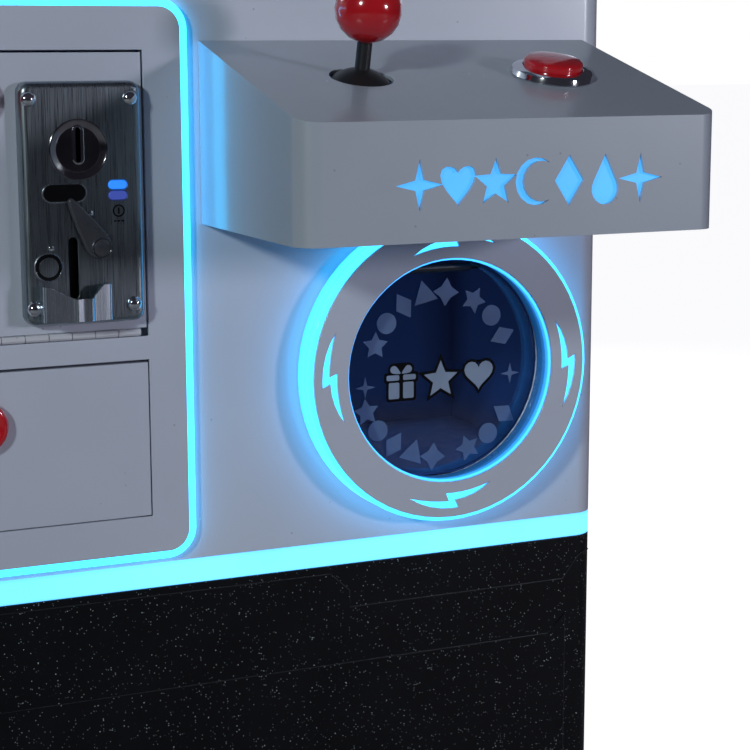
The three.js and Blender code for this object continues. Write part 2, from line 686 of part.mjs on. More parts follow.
function controlBox() {
  const back = FRONT - GAP;
  const cutouts = ORNAMENTS.map((corners, i) => {
    const x = ORNAMENT_ROW.x + (i - (ORNAMENTS.length - 1) / 2) * ORNAMENT_ROW.pitch;
    const outline = corners.map(([dx, dz]) => [x + dx, ORNAMENT_ROW.z + dz]);
    return faceFront(polygon(outline), CONTROL_FRONT - 1, CONTROL_FRONT + SHEET + 1);
  });
  add('control_box', cut(
    controlSolid(0, back),
    controlSolid(SHEET, back + 5),
    slopedHole(STICK),
    slopedHole(BUTTON),
    ...cutouts,
  ), finish.whitePaint());
  const lightFront = CONTROL_FRONT + SHEET + GAP;
  add('control_box_light', box(CONTROL.left + 16, CONTROL.right - 16, lightFront, lightFront + 3,
    CONTROL.bottom + 8, CONTROL.bottom + CONTROL.frontHeight - 8), finish.cyanLight());
}

// The stick tilts left and right in the gimbal ring, and the ring tilts fore and aft in the base.
function joystick() {
  const group = onControlTop(STICK);
  const { pivot, dome } = STICK;
  const underside = -SHEET - GAP;
  const plateBottom = underside - 3;
  const plate = cut(
    box(-35, 35, -30, 30, plateBottom, underside),
    rod('z', dome + 1, plateBottom - 1, underside + 1, [0, 0, 0], 32),
  );
  const arms = [-27, 27].map((x) => box(x - 2, x + 2, -8, 8, -pivot - 7, plateBottom + 0.5));
  const bore = rod('x', 2.3, -40, 40, [0, 0, -pivot]);
  add('joystick_base', cut(join(plate, ...arms), bore), finish.blackPlastic(), group);

  const ring = lathe([[9, -2.5], [15, -2.5], [15, 2.5], [9, 2.5], [9, -2.5]]).translate(0, 0, -pivot);
  const pins = [[-28.5, -13], [13, 28.5]].map(([from, to]) => rod('x', 2, from, to, [0, 0, -pivot]));
  const crossBore = rod('y', 1.9, -20, 20, [0, 0, -pivot]);
  add('joystick_gimbal', cut(join(ring, ...pins), crossBore), finish.brushedSteel(), group);

  const capAngle = THREE.MathUtils.degToRad(62);
  const shaft = 4;
  const topAngle = Math.asin(shaft / dome);
  const profile = [[0, -30], [5, -30], [5, dome * Math.cos(capAngle)]];
  const steps = 6;
  for (let i = 0; i <= steps; i += 1) {
    const angle = capAngle + ((topAngle - capAngle) * i) / steps;
    profile.push([dome * Math.sin(angle), dome * Math.cos(angle)]);
  }
  const ballCentre = 36;
  const ballRadius = 17.5;
  const shaftTop = ballCentre - 8;
  profile.push([shaft, shaftTop + pivot], [0, shaftTop + pivot]);
  add('joystick_shaft', join(
    lathe(profile).translate(0, 0, -pivot),
    rod('y', 1.6, -14, 14, [0, 0, -pivot], 10),
  ), finish.blackPlastic(), group);

  const socket = shaft + GAP;
  const ball = [[0, -7.5], [socket, -7.5]];
  const ballSteps = 9;
  const mouth = Math.asin(socket / ballRadius);
  for (let i = 0; i <= ballSteps; i += 1) {
    const angle = Math.PI - mouth - ((Math.PI - mouth) * i) / ballSteps;
    ball.push([i === ballSteps ? 0 : ballRadius * Math.sin(angle), ballRadius * Math.cos(angle)]);
  }
  add('joystick_ball', lathe(ball, 20).translate(0, 0, ballCentre), finish.redPlastic(), group);
}

function grabButton() {
  const group = onControlTop(BUTTON);
  add('button_bezel', lathe([
    [16.6, -20], [18.6, -20], [18.6, GAP], [23, GAP], [22, 3.5], [18, 5], [16.6, 5], [16.6, -20],
  ], 32), finish.chrome(), group);
  add('grab_button', lathe([
    [0, -17], [16.2, -17], [16.2, 8], [14.5, 9.6], [8, 10.6], [0, 10.9],
  ], 32), finish.redPlastic(), group);
}

// ---------------------------------------------------------------- glass chamber and top

function playfield() {
  const bottom = PLAYFIELD_TOP - PLAYFIELD_SHEET;
  const { left, right, back } = PRIZE_BOX;
  add('playfield', cut(
    raise(bodyOutline(SHEET + GAP), bottom, PLAYFIELD_TOP),
    box(left + 4, right - 4, FRONT + 6, back - 4, bottom - 1, PLAYFIELD_TOP + 1),
  ), finish.playMat());
  const guardHeight = 120;
  const wall = 4;
  const front = FRONT + 23;
  const half = wall / 2;
  const guard = polygon([[left - half, front], [left + half, front], [left + half, back - half],
    [right, back - half], [right, back + half], [left - half, back + half]]);
  add('chute_guard', raise(guard, PLAYFIELD_TOP + GAP, PLAYFIELD_TOP + guardHeight + wall), finish.clear());
}

// Each side of the chamber is a welded frame, two posts and two sills, with a pane in it.
function chamberSides() {
  const top = GLASS_TOP - GAP;
  const outline = raise(bodyOutline(0), BODY_TOP, top);
  const setIn = 6;
  for (const [label, side] of [['left', -1], ['right', 1]]) {
    const half = (x0, x1) => (side < 0 ? [-x1, -x0] : [x0, x1]);
    add(`${label}_frame`, cut(
      common(outline, box(...half(RIGHT - POST, RIGHT + 1), FRONT - 1, BACK + 1, BODY_TOP, top)),
      box(LEFT - 1, RIGHT + 1, FRONT + POST, BACK - POST, BODY_TOP + POST, top - POST),
    ), finish.whitePaint());
    add(`${label}_glass`, box(...half(RIGHT - setIn - GLASS, RIGHT - setIn),
      FRONT + POST + GAP, BACK - POST - GAP, BODY_TOP + POST + GAP, top - POST - GAP), finish.clear());
  }
  const x = RIGHT - POST - GAP;
  add('back_panel', box(-x, x, BACK - 10, BACK - 7, BODY_TOP, top), finish.printedBack());
}

function frontDoor() {
  const half = RIGHT - POST - 1;
  const bottom = BODY_TOP + 1;
  const top = GLASS_TOP - 1.5;
  const bar = 22;
  const depth = 16;
  add('front_door_frame', cut(
    box(-half, half, FRONT, FRONT + depth, bottom, top),
    box(-half + bar, half - bar, FRONT - 1, FRONT + depth + 1, bottom + bar, top - bar),
  ), finish.whitePaint());
  const inset = bar + GAP;
  add('front_door_glass', box(-half + inset, half - inset, FRONT + 6, FRONT + 6 + GLASS,
    bottom + inset, top - inset), finish.clear());
}

function topBox() {
  const window = { half: 235, bottom: GLASS_TOP + 28, top: TOTAL_HEIGHT - 28 };
  add('top_box', cut(
    raise(bodyOutline(0), GLASS_TOP, TOTAL_HEIGHT),
    raise(bodyOutline(SHEET), GLASS_TOP - 1, TOTAL_HEIGHT - SHEET),
    box(-window.half, window.half, FRONT - 1, FRONT + 2 * SHEET, window.bottom, window.top),
  ), finish.whitePaint());
  const front = FRONT + SHEET + GAP;
  const lap = 6;
  add('marquee_panel', box(-window.half - lap, window.half + lap, front, front + 3,
    window.bottom - lap, window.top + lap), finish.cyanLight());
}

// ---------------------------------------------------------------- gantry

function gantryFrame() {
  const outer = 241;
  const bar = 15;
  const inset = 24;
  add('gantry_frame', cut(
    box(-outer, outer, FRONT + inset, BACK - inset, RAIL_TOP - 24, RAIL_TOP),
    box(-outer + bar, outer - bar, FRONT + inset + bar, BACK - inset - bar, RAIL_TOP - 25, RAIL_TOP + 1),
  ), finish.brushedSteel());
}

const BEAM = { gap: 24, width: 8, bottom: RAIL_TOP + 7, top: RAIL_TOP + 19 };

function bridge() {
  const { y } = PARK;
  const trucks = [-1, 1].map((side) => {
    const x = side * 233;
    return box(x - 9, x + 9, y - 45, y + 45, RAIL_TOP + GAP, RAIL_TOP + 24);
  });
  const beams = [-1, 1].map((side) => {
    const middle = y + side * (BEAM.gap + BEAM.width / 2);
    return box(-226, 226, middle - BEAM.width / 2, middle + BEAM.width / 2, BEAM.bottom, BEAM.top);
  });
  add('bridge', join(trucks[0], trucks[1], ...beams), finish.brushedSteel());
}

function trolley() {
  const { x, y } = PARK;
  const plateBottom = BEAM.top + GAP;
  const plateTop = plateBottom + 4;
  const block = box(x - 34, x + 34, y - 22, y + 22, RAIL_TOP - 10, plateTop);
  const plate = box(x - 40, x + 40, y - 38, y + 38, plateBottom, plateTop);
  const cheeks = [-22, 22].map((offset) => {
    return box(x + offset - 2, x + offset + 2, y - 26, y + 4, plateTop - 1, DRUM.z + 8);
  });
  const lineHole = rod('z', 5, RAIL_TOP - 20, plateTop + 1, [x, y, 0], 16);
  const axleBore = rod('x', 3.3, x - 30, x + 30, [0, y - DRUM.radius, DRUM.z]);
  add('trolley', cut(join(block, plate, ...cheeks), lineHole, axleBore), finish.blackPlastic());
}

function winch() {
  const { x, y } = PARK;
  const { radius, z } = DRUM;
  const drum = lathe([
    [0, -24], [3, -24], [3, -17], [17, -17], [17, -14], [radius - 1.5, -14],
    [radius - 1.5, 14], [17, 14], [17, 17], [3, 17], [3, 24], [0, 24],
  ]).rotateY(Math.PI / 2).translate(x, y - radius, z);
  add('winch_drum', drum, finish.brushedSteel());
  add('hoist_line', rod('z', 1, CLAW_TOP + 6 + GAP, z, [x, y, 0], 8), finish.blackPlastic());
}

// ---------------------------------------------------------------- claw

const FINGERS = [90, 210, 330];

// Turns a piece built in the plane y = 0, pointing along +X, to a finger's own direction.
function aroundClaw(geometry, degrees) {
  return geometry.rotateZ(THREE.MathUtils.degToRad(degrees));
}

function clawHousing(group) {
  const coil = lathe([
    [0, 1334], [5, 1334], [5, CLAW_BOTTOM], [24, CLAW_BOTTOM], [26, CLAW_BOTTOM + 2],
    [26, CLAW_BOTTOM + 8], [24, CLAW_BOTTOM + 10], [24, CLAW_TOP - 6], [18, CLAW_TOP],
    [5, CLAW_TOP], [5, CLAW_TOP + 6], [0, CLAW_TOP + 6],
  ]);
  const { radius, z } = FINGER_PIVOT;
  const hangers = FINGERS.flatMap((degrees) => {
    const ears = [-8.5, 8.5].map((y) => {
      return box(radius - 6, radius + 6, y - 1.5, y + 1.5, z - 5, CLAW_BOTTOM + 1);
    });
    const pin = rod('y', 1.5, -9, 9, [radius, 0, z]);
    return [...ears, pin].map((piece) => aroundClaw(piece, degrees));
  });
  add('claw_housing', join(coil, ...hangers), finish.chrome(), group);
}

function clawPlunger(group) {
  const disc = FINGER_PIVOT.z - 3.4;
  add('claw_plunger', lathe([
    [0, disc - 8], [4, disc - 8], [8, disc - 4], [11.5, disc - 4], [11.5, disc], [4, disc],
    [4, 1326], [0, 1326],
  ]), finish.brushedSteel(), group);
}

// A strip of constant width that follows a list of [radius, height] points.
function strip(points, halfWidth) {
  const side = (sign) => points.map(([x, z], i) => {
    const [ax, az] = points[Math.max(i - 1, 0)];
    const [bx, bz] = points[Math.min(i + 1, points.length - 1)];
    const length = Math.hypot(bx - ax, bz - az);
    return [x - (sign * halfWidth * (bz - az)) / length, z + (sign * halfWidth * (bx - ax)) / length];
  });
  return polygon([...side(1), ...side(-1).reverse()]);
}

function clawFingers(group) {
  const { radius, z } = FINGER_PIVOT;
  const middle = [[-12, -0.5], [0, 0], [14, -2], [26, -8], [34, -19], [38, -34], [38, -48],
    [34, -62], [29, -72], [21, -82]];
  const outline = strip(middle, 1.9);
  FINGERS.forEach((degrees, i) => {
    const finger = cut(
      join(faceFront(outline, -6, 6), rod('y', 3.6, -6, 6, [0, 0, 0], 16)),
      rod('y', 1.8, -10, 10, [0, 0, 0]),
    );
    add(`claw_finger_${i + 1}`, aroundClaw(finger.translate(radius, 0, z), degrees), finish.chrome(), group);
  });
}

function claw() {
  const group = new THREE.Group();
  group.position.set(PARK.x, PARK.y, 0);
  clawHousing(group);
  clawPlunger(group);
  clawFingers(group);
  machine.add(group);
}

// ---------------------------------------------------------------- assembly

levellingFeet();
baseCabinet();
lightSkirt();
lowerBody();
powerInlet();
coinPanel();
coinHinge();
coinDoor();
coinMechs();
cashDoor();
cashBin();
prizeRing();
prizeFlap();
prizeBox();
controlBox();
joystick();
grabButton();
playfield();
chamberSides();
frontDoor();
topBox();
gantryFrame();
bridge();
trolley();
winch();
claw();

export default machine;
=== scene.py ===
"""Looks for the claw crane machine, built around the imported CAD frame. Metres, +Z up, faces -Y."""

import math

import bmesh
import bpy
from mathutils import Matrix, Vector
from mathutils.geometry import tessellate_polygon


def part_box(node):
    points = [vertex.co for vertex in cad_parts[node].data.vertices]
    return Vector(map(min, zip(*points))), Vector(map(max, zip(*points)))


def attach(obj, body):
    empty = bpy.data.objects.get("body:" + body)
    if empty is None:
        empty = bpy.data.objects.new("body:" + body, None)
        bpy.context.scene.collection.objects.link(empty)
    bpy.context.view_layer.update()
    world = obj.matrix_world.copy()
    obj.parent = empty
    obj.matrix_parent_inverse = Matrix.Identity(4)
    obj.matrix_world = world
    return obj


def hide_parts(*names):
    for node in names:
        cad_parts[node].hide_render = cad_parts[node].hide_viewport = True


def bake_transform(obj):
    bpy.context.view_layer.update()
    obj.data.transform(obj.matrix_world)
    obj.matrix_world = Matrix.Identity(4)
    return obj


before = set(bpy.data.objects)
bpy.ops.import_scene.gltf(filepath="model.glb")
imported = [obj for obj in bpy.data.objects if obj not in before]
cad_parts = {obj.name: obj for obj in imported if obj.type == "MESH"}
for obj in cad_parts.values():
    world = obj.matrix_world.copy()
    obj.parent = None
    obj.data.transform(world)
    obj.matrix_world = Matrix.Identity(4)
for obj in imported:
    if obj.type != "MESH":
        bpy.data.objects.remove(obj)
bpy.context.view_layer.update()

MM = 0.001
CYAN = (0.028, 0.5, 1.0)
SKY = (0.07, 0.44, 1.0)
AZURE = (0.035, 0.34, 1.0)


# ---------------------------------------------------------------- camera, light, floor


def add_camera():
    data = bpy.data.cameras.new("camera")
    data.lens = 90.31
    data.sensor_width = 36
    data.clip_start = 0.05
    camera = bpy.data.objects.new("camera", data)
    right = Vector((0.91229, -0.40953, -0.00276))
    up = Vector((0.07324, 0.15653, 0.98495))
    back = Vector((-0.40294, -0.89877, 0.17279))
    turn = Matrix((right, up, back)).transposed().to_4x4()
    camera.matrix_world = Matrix.Translation((-0.3235, -1.1647, 0.7794)) @ turn
    bpy.context.scene.collection.objects.link(camera)
    bpy.context.scene.camera = camera


def add_area_light(name, travel, target, distance, size, power, colour):
    """A square light that shines along travel onto target."""
    data = bpy.data.lights.new(name, "AREA")
    data.size = size
    data.energy = power
    data.color = colour
    light = bpy.data.objects.new(name, data)
    direction = Vector(travel).normalized()
    light.location = Vector(target) - direction * distance
    light.rotation_mode = "QUATERNION"
    light.rotation_quaternion = direction.to_track_quat("-Z", "Y")
    bpy.context.scene.collection.objects.link(light)


def add_lights():
    middle = (0, -0.19, 0.65)
    add_area_light("key", (1.1, 1, -0.54), middle, 3, 0.25, 29.5, (0.87, 1.0, 1.0))
    add_area_light("second", (-0.84, 1, -0.18), middle, 3, 0.3, 20.5, (0.89, 0.88, 1.0))
    add_area_light("rear", (-0.35, -1, -0.18), (0, 0.33, 0.8), 3.2, 1.6, 36, (0.93, 0.95, 1.0))
    add_area_light("overhead", (0, -0.2, -1), (0, 0.07, 1.58), 1.6, 0.8, 3.5, (0.95, 0.97, 1.0))


def add_world():
    """White behind the object, and a dim bluish studio in what the surfaces reflect."""
    world = bpy.data.worlds.new("studio")
    world.use_nodes = True
    tree = world.node_tree
    tree.nodes.clear()
    path = tree.nodes.new("ShaderNodeLightPath")
    studio = tree.nodes.new("ShaderNodeBackground")
    studio.inputs["Color"].default_value = (0.75, 0.72, 1.0, 1)
    studio.inputs["Strength"].default_value = 0.035
    white = tree.nodes.new("ShaderNodeBackground")
    mix = tree.nodes.new("ShaderNodeMixShader")
    output = tree.nodes.new("ShaderNodeOutputWorld")
    white.inputs["Color"].default_value = (1, 1, 1, 1)
    tree.links.new(path.outputs["Is Camera Ray"], mix.inputs["Fac"])
    tree.links.new(studio.outputs[0], mix.inputs[1])
    tree.links.new(white.outputs[0], mix.inputs[2])
    tree.links.new(mix.outputs[0], output.inputs["Surface"])
    bpy.context.scene.world = world


def add_floor():
    """A pale floor: nearly white to the camera, and mid grey to the light that bounces off it."""
    bm = bmesh.new()
    bmesh.ops.create_grid(bm, x_segments=1, y_segments=1, size=30)
    mesh = bpy.data.meshes.new("floor")
    bm.to_mesh(mesh)
    bm.free()
    floor = bpy.data.objects.new("floor", mesh)
    bpy.context.scene.collection.objects.link(floor)
    g = Graph("pale floor")
    grain = g.noise(3, 2)
    g.colour(g.ramp(grain, [(0.3, (0.3, 0.3, 0.31)), (0.7, (0.33, 0.33, 0.34))]))
    g.surface(roughness=0.9)
    path = g.tree.nodes.new("ShaderNodeLightPath")
    g.put(g.shader.inputs["Emission Color"], (0.98, 0.98, 1.0))
    g.put(g.shader.inputs["Emission Strength"], g.math("MULTIPLY", path.outputs["Is Camera Ray"], 0.97))
    mesh.materials.append(g.material)


# ---------------------------------------------------------------- material graphs


class Graph:
    """One material's node graph. Coordinates are metres in the row frame at rest."""

    def __init__(self, name):
        self.material = bpy.data.materials.new(name)
        self.material.use_nodes = True
        self.tree = self.material.node_tree
        self.shader = self.tree.nodes["Principled BSDF"]
        self.place = self.tree.nodes.new("ShaderNodeTexCoord").outputs["Object"]

    def put(self, socket, value):
        if isinstance(value, bpy.types.NodeSocket):
            self.tree.links.new(value, socket)
        elif isinstance(value, tuple) and len(value) == 3 and len(socket.default_value) == 4:
            socket.default_value = (*value, 1)
        else:
            socket.default_value = value

    def math(self, operation, a, b=0.0, clamp=False):
        node = self.tree.nodes.new("ShaderNodeMath")
        node.operation = operation
        node.use_clamp = clamp
        self.put(node.inputs[0], a)
        self.put(node.inputs[1], b)
        return node.outputs[0]

    def scaled(self, factors):
        node = self.tree.nodes.new("ShaderNodeVectorMath")
        node.operation = "MULTIPLY"
        self.put(node.inputs[0], self.place)
        node.inputs[1].default_value = factors
        return node.outputs[0]

    def axis(self, index):
        node = self.tree.nodes.new("ShaderNodeSeparateXYZ")
        self.put(node.inputs[0], self.place)
        return node.outputs[index]

    def noise(self, scale, detail=2, stretch=None):
        node = self.tree.nodes.new("ShaderNodeTexNoise")
        self.put(node.inputs["Vector"], self.scaled(stretch) if stretch else self.place)
        node.inputs["Scale"].default_value = scale
        node.inputs["Detail"].default_value = detail
        return node.outputs["Fac"]

    def cells(self, scale, stretch=None):
        """Distance to the middle of the nearest cell, and one random number for the cell."""
        node = self.tree.nodes.new("ShaderNodeTexVoronoi")
        self.put(node.inputs["Vector"], self.scaled(stretch) if stretch else self.place)
        node.inputs["Scale"].default_value = scale
        parts = self.tree.nodes.new("ShaderNodeSeparateColor")
        self.put(parts.inputs[0], node.outputs["Color"])
        return node.outputs["Distance"], parts.outputs[0]

    def dots(self, scale, radius, share, stretch=None):
        """A mask that is 1 in small dots, in that share of the cells."""
        distance, chance = self.cells(scale, stretch)
        inside = self.math("LESS_THAN", distance, radius)
        return self.math("MULTIPLY", inside, self.math("LESS_THAN", chance, share))

    def ramp(self, value, stops):
        node = self.tree.nodes.new("ShaderNodeValToRGB")
        self.put(node.inputs[0], value)
        elements = node.color_ramp.elements
        while len(elements) < len(stops):
            elements.new(0.5)
        for element, (position, colour) in zip(elements, stops):
            element.position = position
            element.color = (*colour, 1) if isinstance(colour, tuple) else (colour, colour, colour, 1)
        return node.outputs["Color"]

    def span(self, value, low, high, start=0.0, end=1.0):
        node = self.tree.nodes.new("ShaderNodeMapRange")
        self.put(node.inputs["Value"], value)
        for socket, number in zip(node.inputs[1:5], (low, high, start, end)):
            socket.default_value = number
        return node.outputs[0]

    def mix(self, factor, a, b):
        node = self.tree.nodes.new("ShaderNodeMix")
        node.data_type = "RGBA"
        self.put(node.inputs[0], factor)
        self.put(node.inputs[6], a)
        self.put(node.inputs[7], b)
        return node.outputs[2]

    def bump(self, height, distance, strength=1.0):
        node = self.tree.nodes.new("ShaderNodeBump")
        node.inputs["Strength"].default_value = strength
        node.inputs["Distance"].default_value = distance
        self.put(node.inputs["Height"], height)
        self.put(self.shader.inputs["Normal"], node.outputs[0])

    def colour(self, value):
        self.put(self.shader.inputs["Base Color"], value)

    def rough(self, value):
        self.put(self.shader.inputs["Roughness"], value)

    def glow(self, colour, strength):
        self.put(self.shader.inputs["Emission Color"], colour)
        self.put(self.shader.inputs["Emission Strength"], strength)

    def surface(self, **values):
        names = {
            "metallic": "Metallic", "roughness": "Roughness", "ior": "IOR", "coat": "Coat Weight",
            "coat_roughness": "Coat Roughness", "transmission": "Transmission Weight",
            "anisotropic": "Anisotropic", "specular": "Specular IOR Level",
        }
        for key, value in values.items():
            self.shader.inputs[names[key]].default_value = value


def shade(colour, factor):
    return tuple(c * factor for c in colour)


def paint(name, colour, roughness=0.32, coat=0.5):
    """Sprayed enamel: slight clouding, orange peel, and a few tiny wear specks."""
    g = Graph(name)
    clouded = g.ramp(g.noise(9, 3), [(0.32, shade(colour, 0.97)), (0.68, shade(colour, 1.03))])
    specks = g.dots(210, 0.13, 0.035)
    dirt = g.mix(g.math("MULTIPLY", specks, 0.5), clouded, shade(colour, 0.45))
    pale = g.dots(150, 0.1, 0.02)
    g.colour(g.mix(g.math("MULTIPLY", pale, 0.7), dirt, (0.9, 0.9, 0.92)))
    g.rough(g.span(g.noise(35, 3), 0.3, 0.7, roughness - 0.02, roughness + 0.04))
    g.bump(g.noise(420, 2), 0.00004, 0.35)
    g.surface(coat=coat, coat_roughness=0.12)
    return g.material


def glitter_paint():
    """Near-black enamel with fine metallic flakes of several sizes."""
    g = Graph("black glitter enamel")
    base = g.ramp(g.noise(30, 3), [(0.3, (0.0016, 0.0018, 0.003)), (0.7, (0.003, 0.0034, 0.005))])
    fine = g.dots(760, 0.2, 0.28)
    large = g.dots(420, 0.14, 0.12)
    level = g.span(g.noise(160, 1), 0.38, 0.7, 0.02, 0.9)
    flakes = g.math("MULTIPLY", g.math("MAXIMUM", fine, large), level)
    g.colour(g.mix(flakes, base, (0.75, 0.85, 0.85)))
    g.rough(g.span(flakes, 0, 0.5, 0.38, 0.25))
    g.bump(g.noise(300, 3), 0.00005, 0.4)
    g.surface(specular=0.22)
    return g.material


def brushed_steel(name, colour, direction=(1, 1, 0.012), roughness=0.3, contrast=0.07):
    """Long fine scratches along one direction, with a few darker streaks."""
    g = Graph(name)
    fine = g.noise(3200, 2, direction)
    wide = g.noise(700, 2, direction)
    streaks = g.math("ADD", g.math("MULTIPLY", fine, 0.75), g.math("MULTIPLY", wide, 0.25))
    g.colour(g.ramp(streaks, [(0.36, shade(colour, 1 - contrast)), (0.64, shade(colour, 1 + contrast))]))
    g.rough(g.span(streaks, 0.35, 0.65, roughness - contrast, roughness + contrast * 1.5))
    g.bump(streaks, 0.000012, contrast * 5)
    g.surface(metallic=1.0)
    return g.material


def metal(name, colour, roughness, grain=260, depth=0.00003):
    """Plated or cast metal: slight mottling and soft dents in the reflections."""
    g = Graph(name)
    mottle = g.noise(grain, 3)
    g.colour(g.ramp(mottle, [(0.3, shade(colour, 0.82)), (0.7, shade(colour, 1.08))]))
    g.rough(g.span(g.noise(grain * 0.4, 3), 0.3, 0.7, roughness * 0.75, roughness * 1.35))
    g.bump(mottle, depth, 0.25)
    g.surface(metallic=1.0)
    return g.material


def plastic(name, colour, roughness=0.35, grain=900, coat=0.0, specular=0.5):
    """Moulded plastic with a fine mould grain and slight colour drift."""
    g = Graph(name)
    g.colour(g.ramp(g.noise(60, 3), [(0.3, shade(colour, 0.88)), (0.7, shade(colour, 1.08))]))
    g.rough(g.span(g.noise(180, 3), 0.3, 0.7, roughness * 0.85, roughness * 1.2))
    g.bump(g.noise(grain, 2), 0.00005, 0.3)
    g.surface(coat=coat, coat_roughness=0.08, specular=specular)
    return g.material


def rubber():
    g = Graph("black rubber")
    g.colour(g.ramp(g.noise(80, 4), [(0.3, (0.012, 0.012, 0.013)), (0.7, (0.03, 0.03, 0.031))]))
    g.rough(g.span(g.noise(240, 3), 0.3, 0.7, 0.6, 0.85))
    g.bump(g.noise(700, 3), 0.0001, 0.5)
    return g.material


def frosted_light(name, colour, strength, axis, low, high, bands, base=(0.05, 0.2, 0.35), rim=None):
    """A frosted acrylic edge, lit from behind: even, with soft banding along one axis."""
    g = Graph(name)
    across = g.span(g.axis(axis), low, high)
    level = g.ramp(across, [(position, value) for position, value in bands])
    uneven = g.span(g.noise(9, 2), 0.3, 0.7, 0.88, 1.08)
    lit = g.math("MULTIPLY", g.math("MULTIPLY", level, uneven), strength)
    if rim:
        lit = g.math("MULTIPLY", lit, near_outline(g, *rim))
    g.colour(base)
    g.glow(colour, lit)
    g.rough(g.span(g.noise(200, 2), 0.3, 0.7, 0.3, 0.42))
    return g.material


def near_outline(g, node, width):
    """A mask that is 1 within width of a node's outline, seen from the front."""
    low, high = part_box(node)
    centre, half = (low + high) / 2, (high - low) / 2
    dx = g.math("SUBTRACT", g.math("ABSOLUTE", g.math("SUBTRACT", g.axis(0), centre.x)), half.x)
    dz = g.math("SUBTRACT", g.math("ABSOLUTE", g.math("SUBTRACT", g.axis(2), centre.z)), half.z)
    return g.math("GREATER_THAN", g.math("MAXIMUM", dx, dz), -width)


def ring_light_material():
    """The prize ring's acrylic: a bright outer edge, and a bluer lip round the opening."""
    low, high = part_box("prize_ring_light")
    centre = (low + high) / 2
    g = Graph("prize ring light")
    dx = g.math("SUBTRACT", g.axis(0), centre.x)
    dz = g.math("SUBTRACT", g.axis(2), centre.z)
    square = g.math("ADD", g.math("MULTIPLY", dx, dx), g.math("MULTIPLY", dz, dz))
    inner = g.math("LESS_THAN", g.math("SQRT", square), 0.0662)
    depth = g.span(g.axis(1), high.y, low.y)
    outside = g.ramp(depth, [(0.0, 0.5), (0.2, 0.85), (0.55, 1.0), (0.6, 0.8), (0.8, 1.0)])
    lip = g.ramp(depth, [(0.0, 0.04), (0.4, 0.07), (0.44, 0.12), (0.6, 0.16), (0.74, 0.12), (0.76, 0.3),
                         (0.96, 0.5), (1.0, 0.9)])
    level = g.mix(inner, outside, lip)
    g.colour((0.03, 0.08, 0.2))
    g.glow(g.mix(inner, (0.04, 0.48, 1.0), AZURE), g.math("MULTIPLY", level, 3.0))
    g.rough(g.span(g.noise(150, 2), 0.3, 0.7, 0.18, 0.3))
    return g.material


def navy_liner_with_painted_glow():
    """The prize box's liner, with a faint painted blue glow that stands in for the light of the ring behind
    it, and painted shade along its corners.
    """
    g = Graph("navy liner with painted glow and shade")
    low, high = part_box("prize_box")
    tone = g.ramp(g.noise(16, 3), [(0.3, (0.007, 0.026, 0.11)), (0.7, (0.01, 0.034, 0.14))])
    g.colour(tone)
    walls = [g.math("SUBTRACT", g.axis(0), low.x), g.math("SUBTRACT", high.x, g.axis(0)),
             g.math("SUBTRACT", high.y, g.axis(1)), g.math("SUBTRACT", g.axis(2), low.z)]
    left, right, rear, floor = [g.span(wall, 0.002, 0.03, 1.0, 0.0) for wall in walls]
    side = g.math("MAXIMUM", left, right)
    corners = [g.math("MULTIPLY", a, b) for a, b in ((side, rear), (side, floor), (rear, floor))]
    corner = g.math("MAXIMUM", g.math("MAXIMUM", corners[0], corners[1]), corners[2])
    # Painted light: the liner's emission is stronger near the bottom and by the floor, as if lit by the ring.
    lit = g.math("ADD", g.span(g.axis(2), low.z + 0.17, low.z, 0.16, 0.36), g.math("MULTIPLY", floor, 0.15))
    # Painted shade: the painted glow dims along the corners.
    painted_corner_shade = g.math("SUBTRACT", 1.0, g.math("MULTIPLY", corner, 0.7))
    g.glow((0.01, 0.03, 0.115), g.math("MULTIPLY", lit, painted_corner_shade))
    g.rough(g.span(g.noise(120, 3), 0.3, 0.7, 0.5, 0.65))
    g.bump(g.noise(500, 3), 0.00005, 0.3)
    g.surface(specular=0.1)
    return g.material


def clear_sheet(name, tint, roughness, scratches):
    """Clear acrylic or glass with hairline scratches."""
    g = Graph(name)
    turned = g.cells(scratches, (1.0, 1.0, 0.06))[0]
    line = g.math("LESS_THAN", turned, 0.012)
    haze = g.noise(20, 3)
    g.colour(g.ramp(haze, [(0.3, shade(tint, 0.98)), (0.7, tint)]))
    g.rough(g.math("ADD", g.span(haze, 0.3, 0.7, roughness, roughness * 1.6), g.math("MULTIPLY", line, 0.25)))
    g.surface(transmission=1.0, ior=1.45)
    return g.material


def clear_pane(name, tint, cover):
    """A thin window pane that covers a small part of what is behind it, with faint smears."""
    g = Graph(name)
    haze = g.noise(6, 4)
    g.colour(g.ramp(haze, [(0.3, shade(tint, 0.8)), (0.7, tint)]))
    g.rough(g.span(haze, 0.3, 0.7, 0.03, 0.09))
    g.put(g.shader.inputs["Alpha"], g.span(haze, 0.3, 0.7, cover * 0.8, cover * 1.2))
    g.surface(coat=1.0, coat_roughness=0.03)
    return g.material


def star_print(name, dark, light, stars):
    """A printed sheet: a soft gradient with small round stars."""
    g = Graph(name)
    low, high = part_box("back_panel")
    height = g.span(g.axis(2), low.z, high.z)
    soft = g.math("ADD", height, g.span(g.noise(5, 3), 0.2, 0.8, -0.15, 0.15))
    ground = g.ramp(soft, [(0.0, light), (1.0, dark)])
    small = g.dots(60, 0.12, 0.3, (1, 0.01, 1))
    large = g.dots(22, 0.1, 0.35, (1, 0.01, 1))
    g.colour(g.mix(g.math("MAXIMUM", small, large), ground, stars))
    g.rough(g.span(g.noise(50, 2), 0.3, 0.7, 0.25, 0.4))
    return g.material


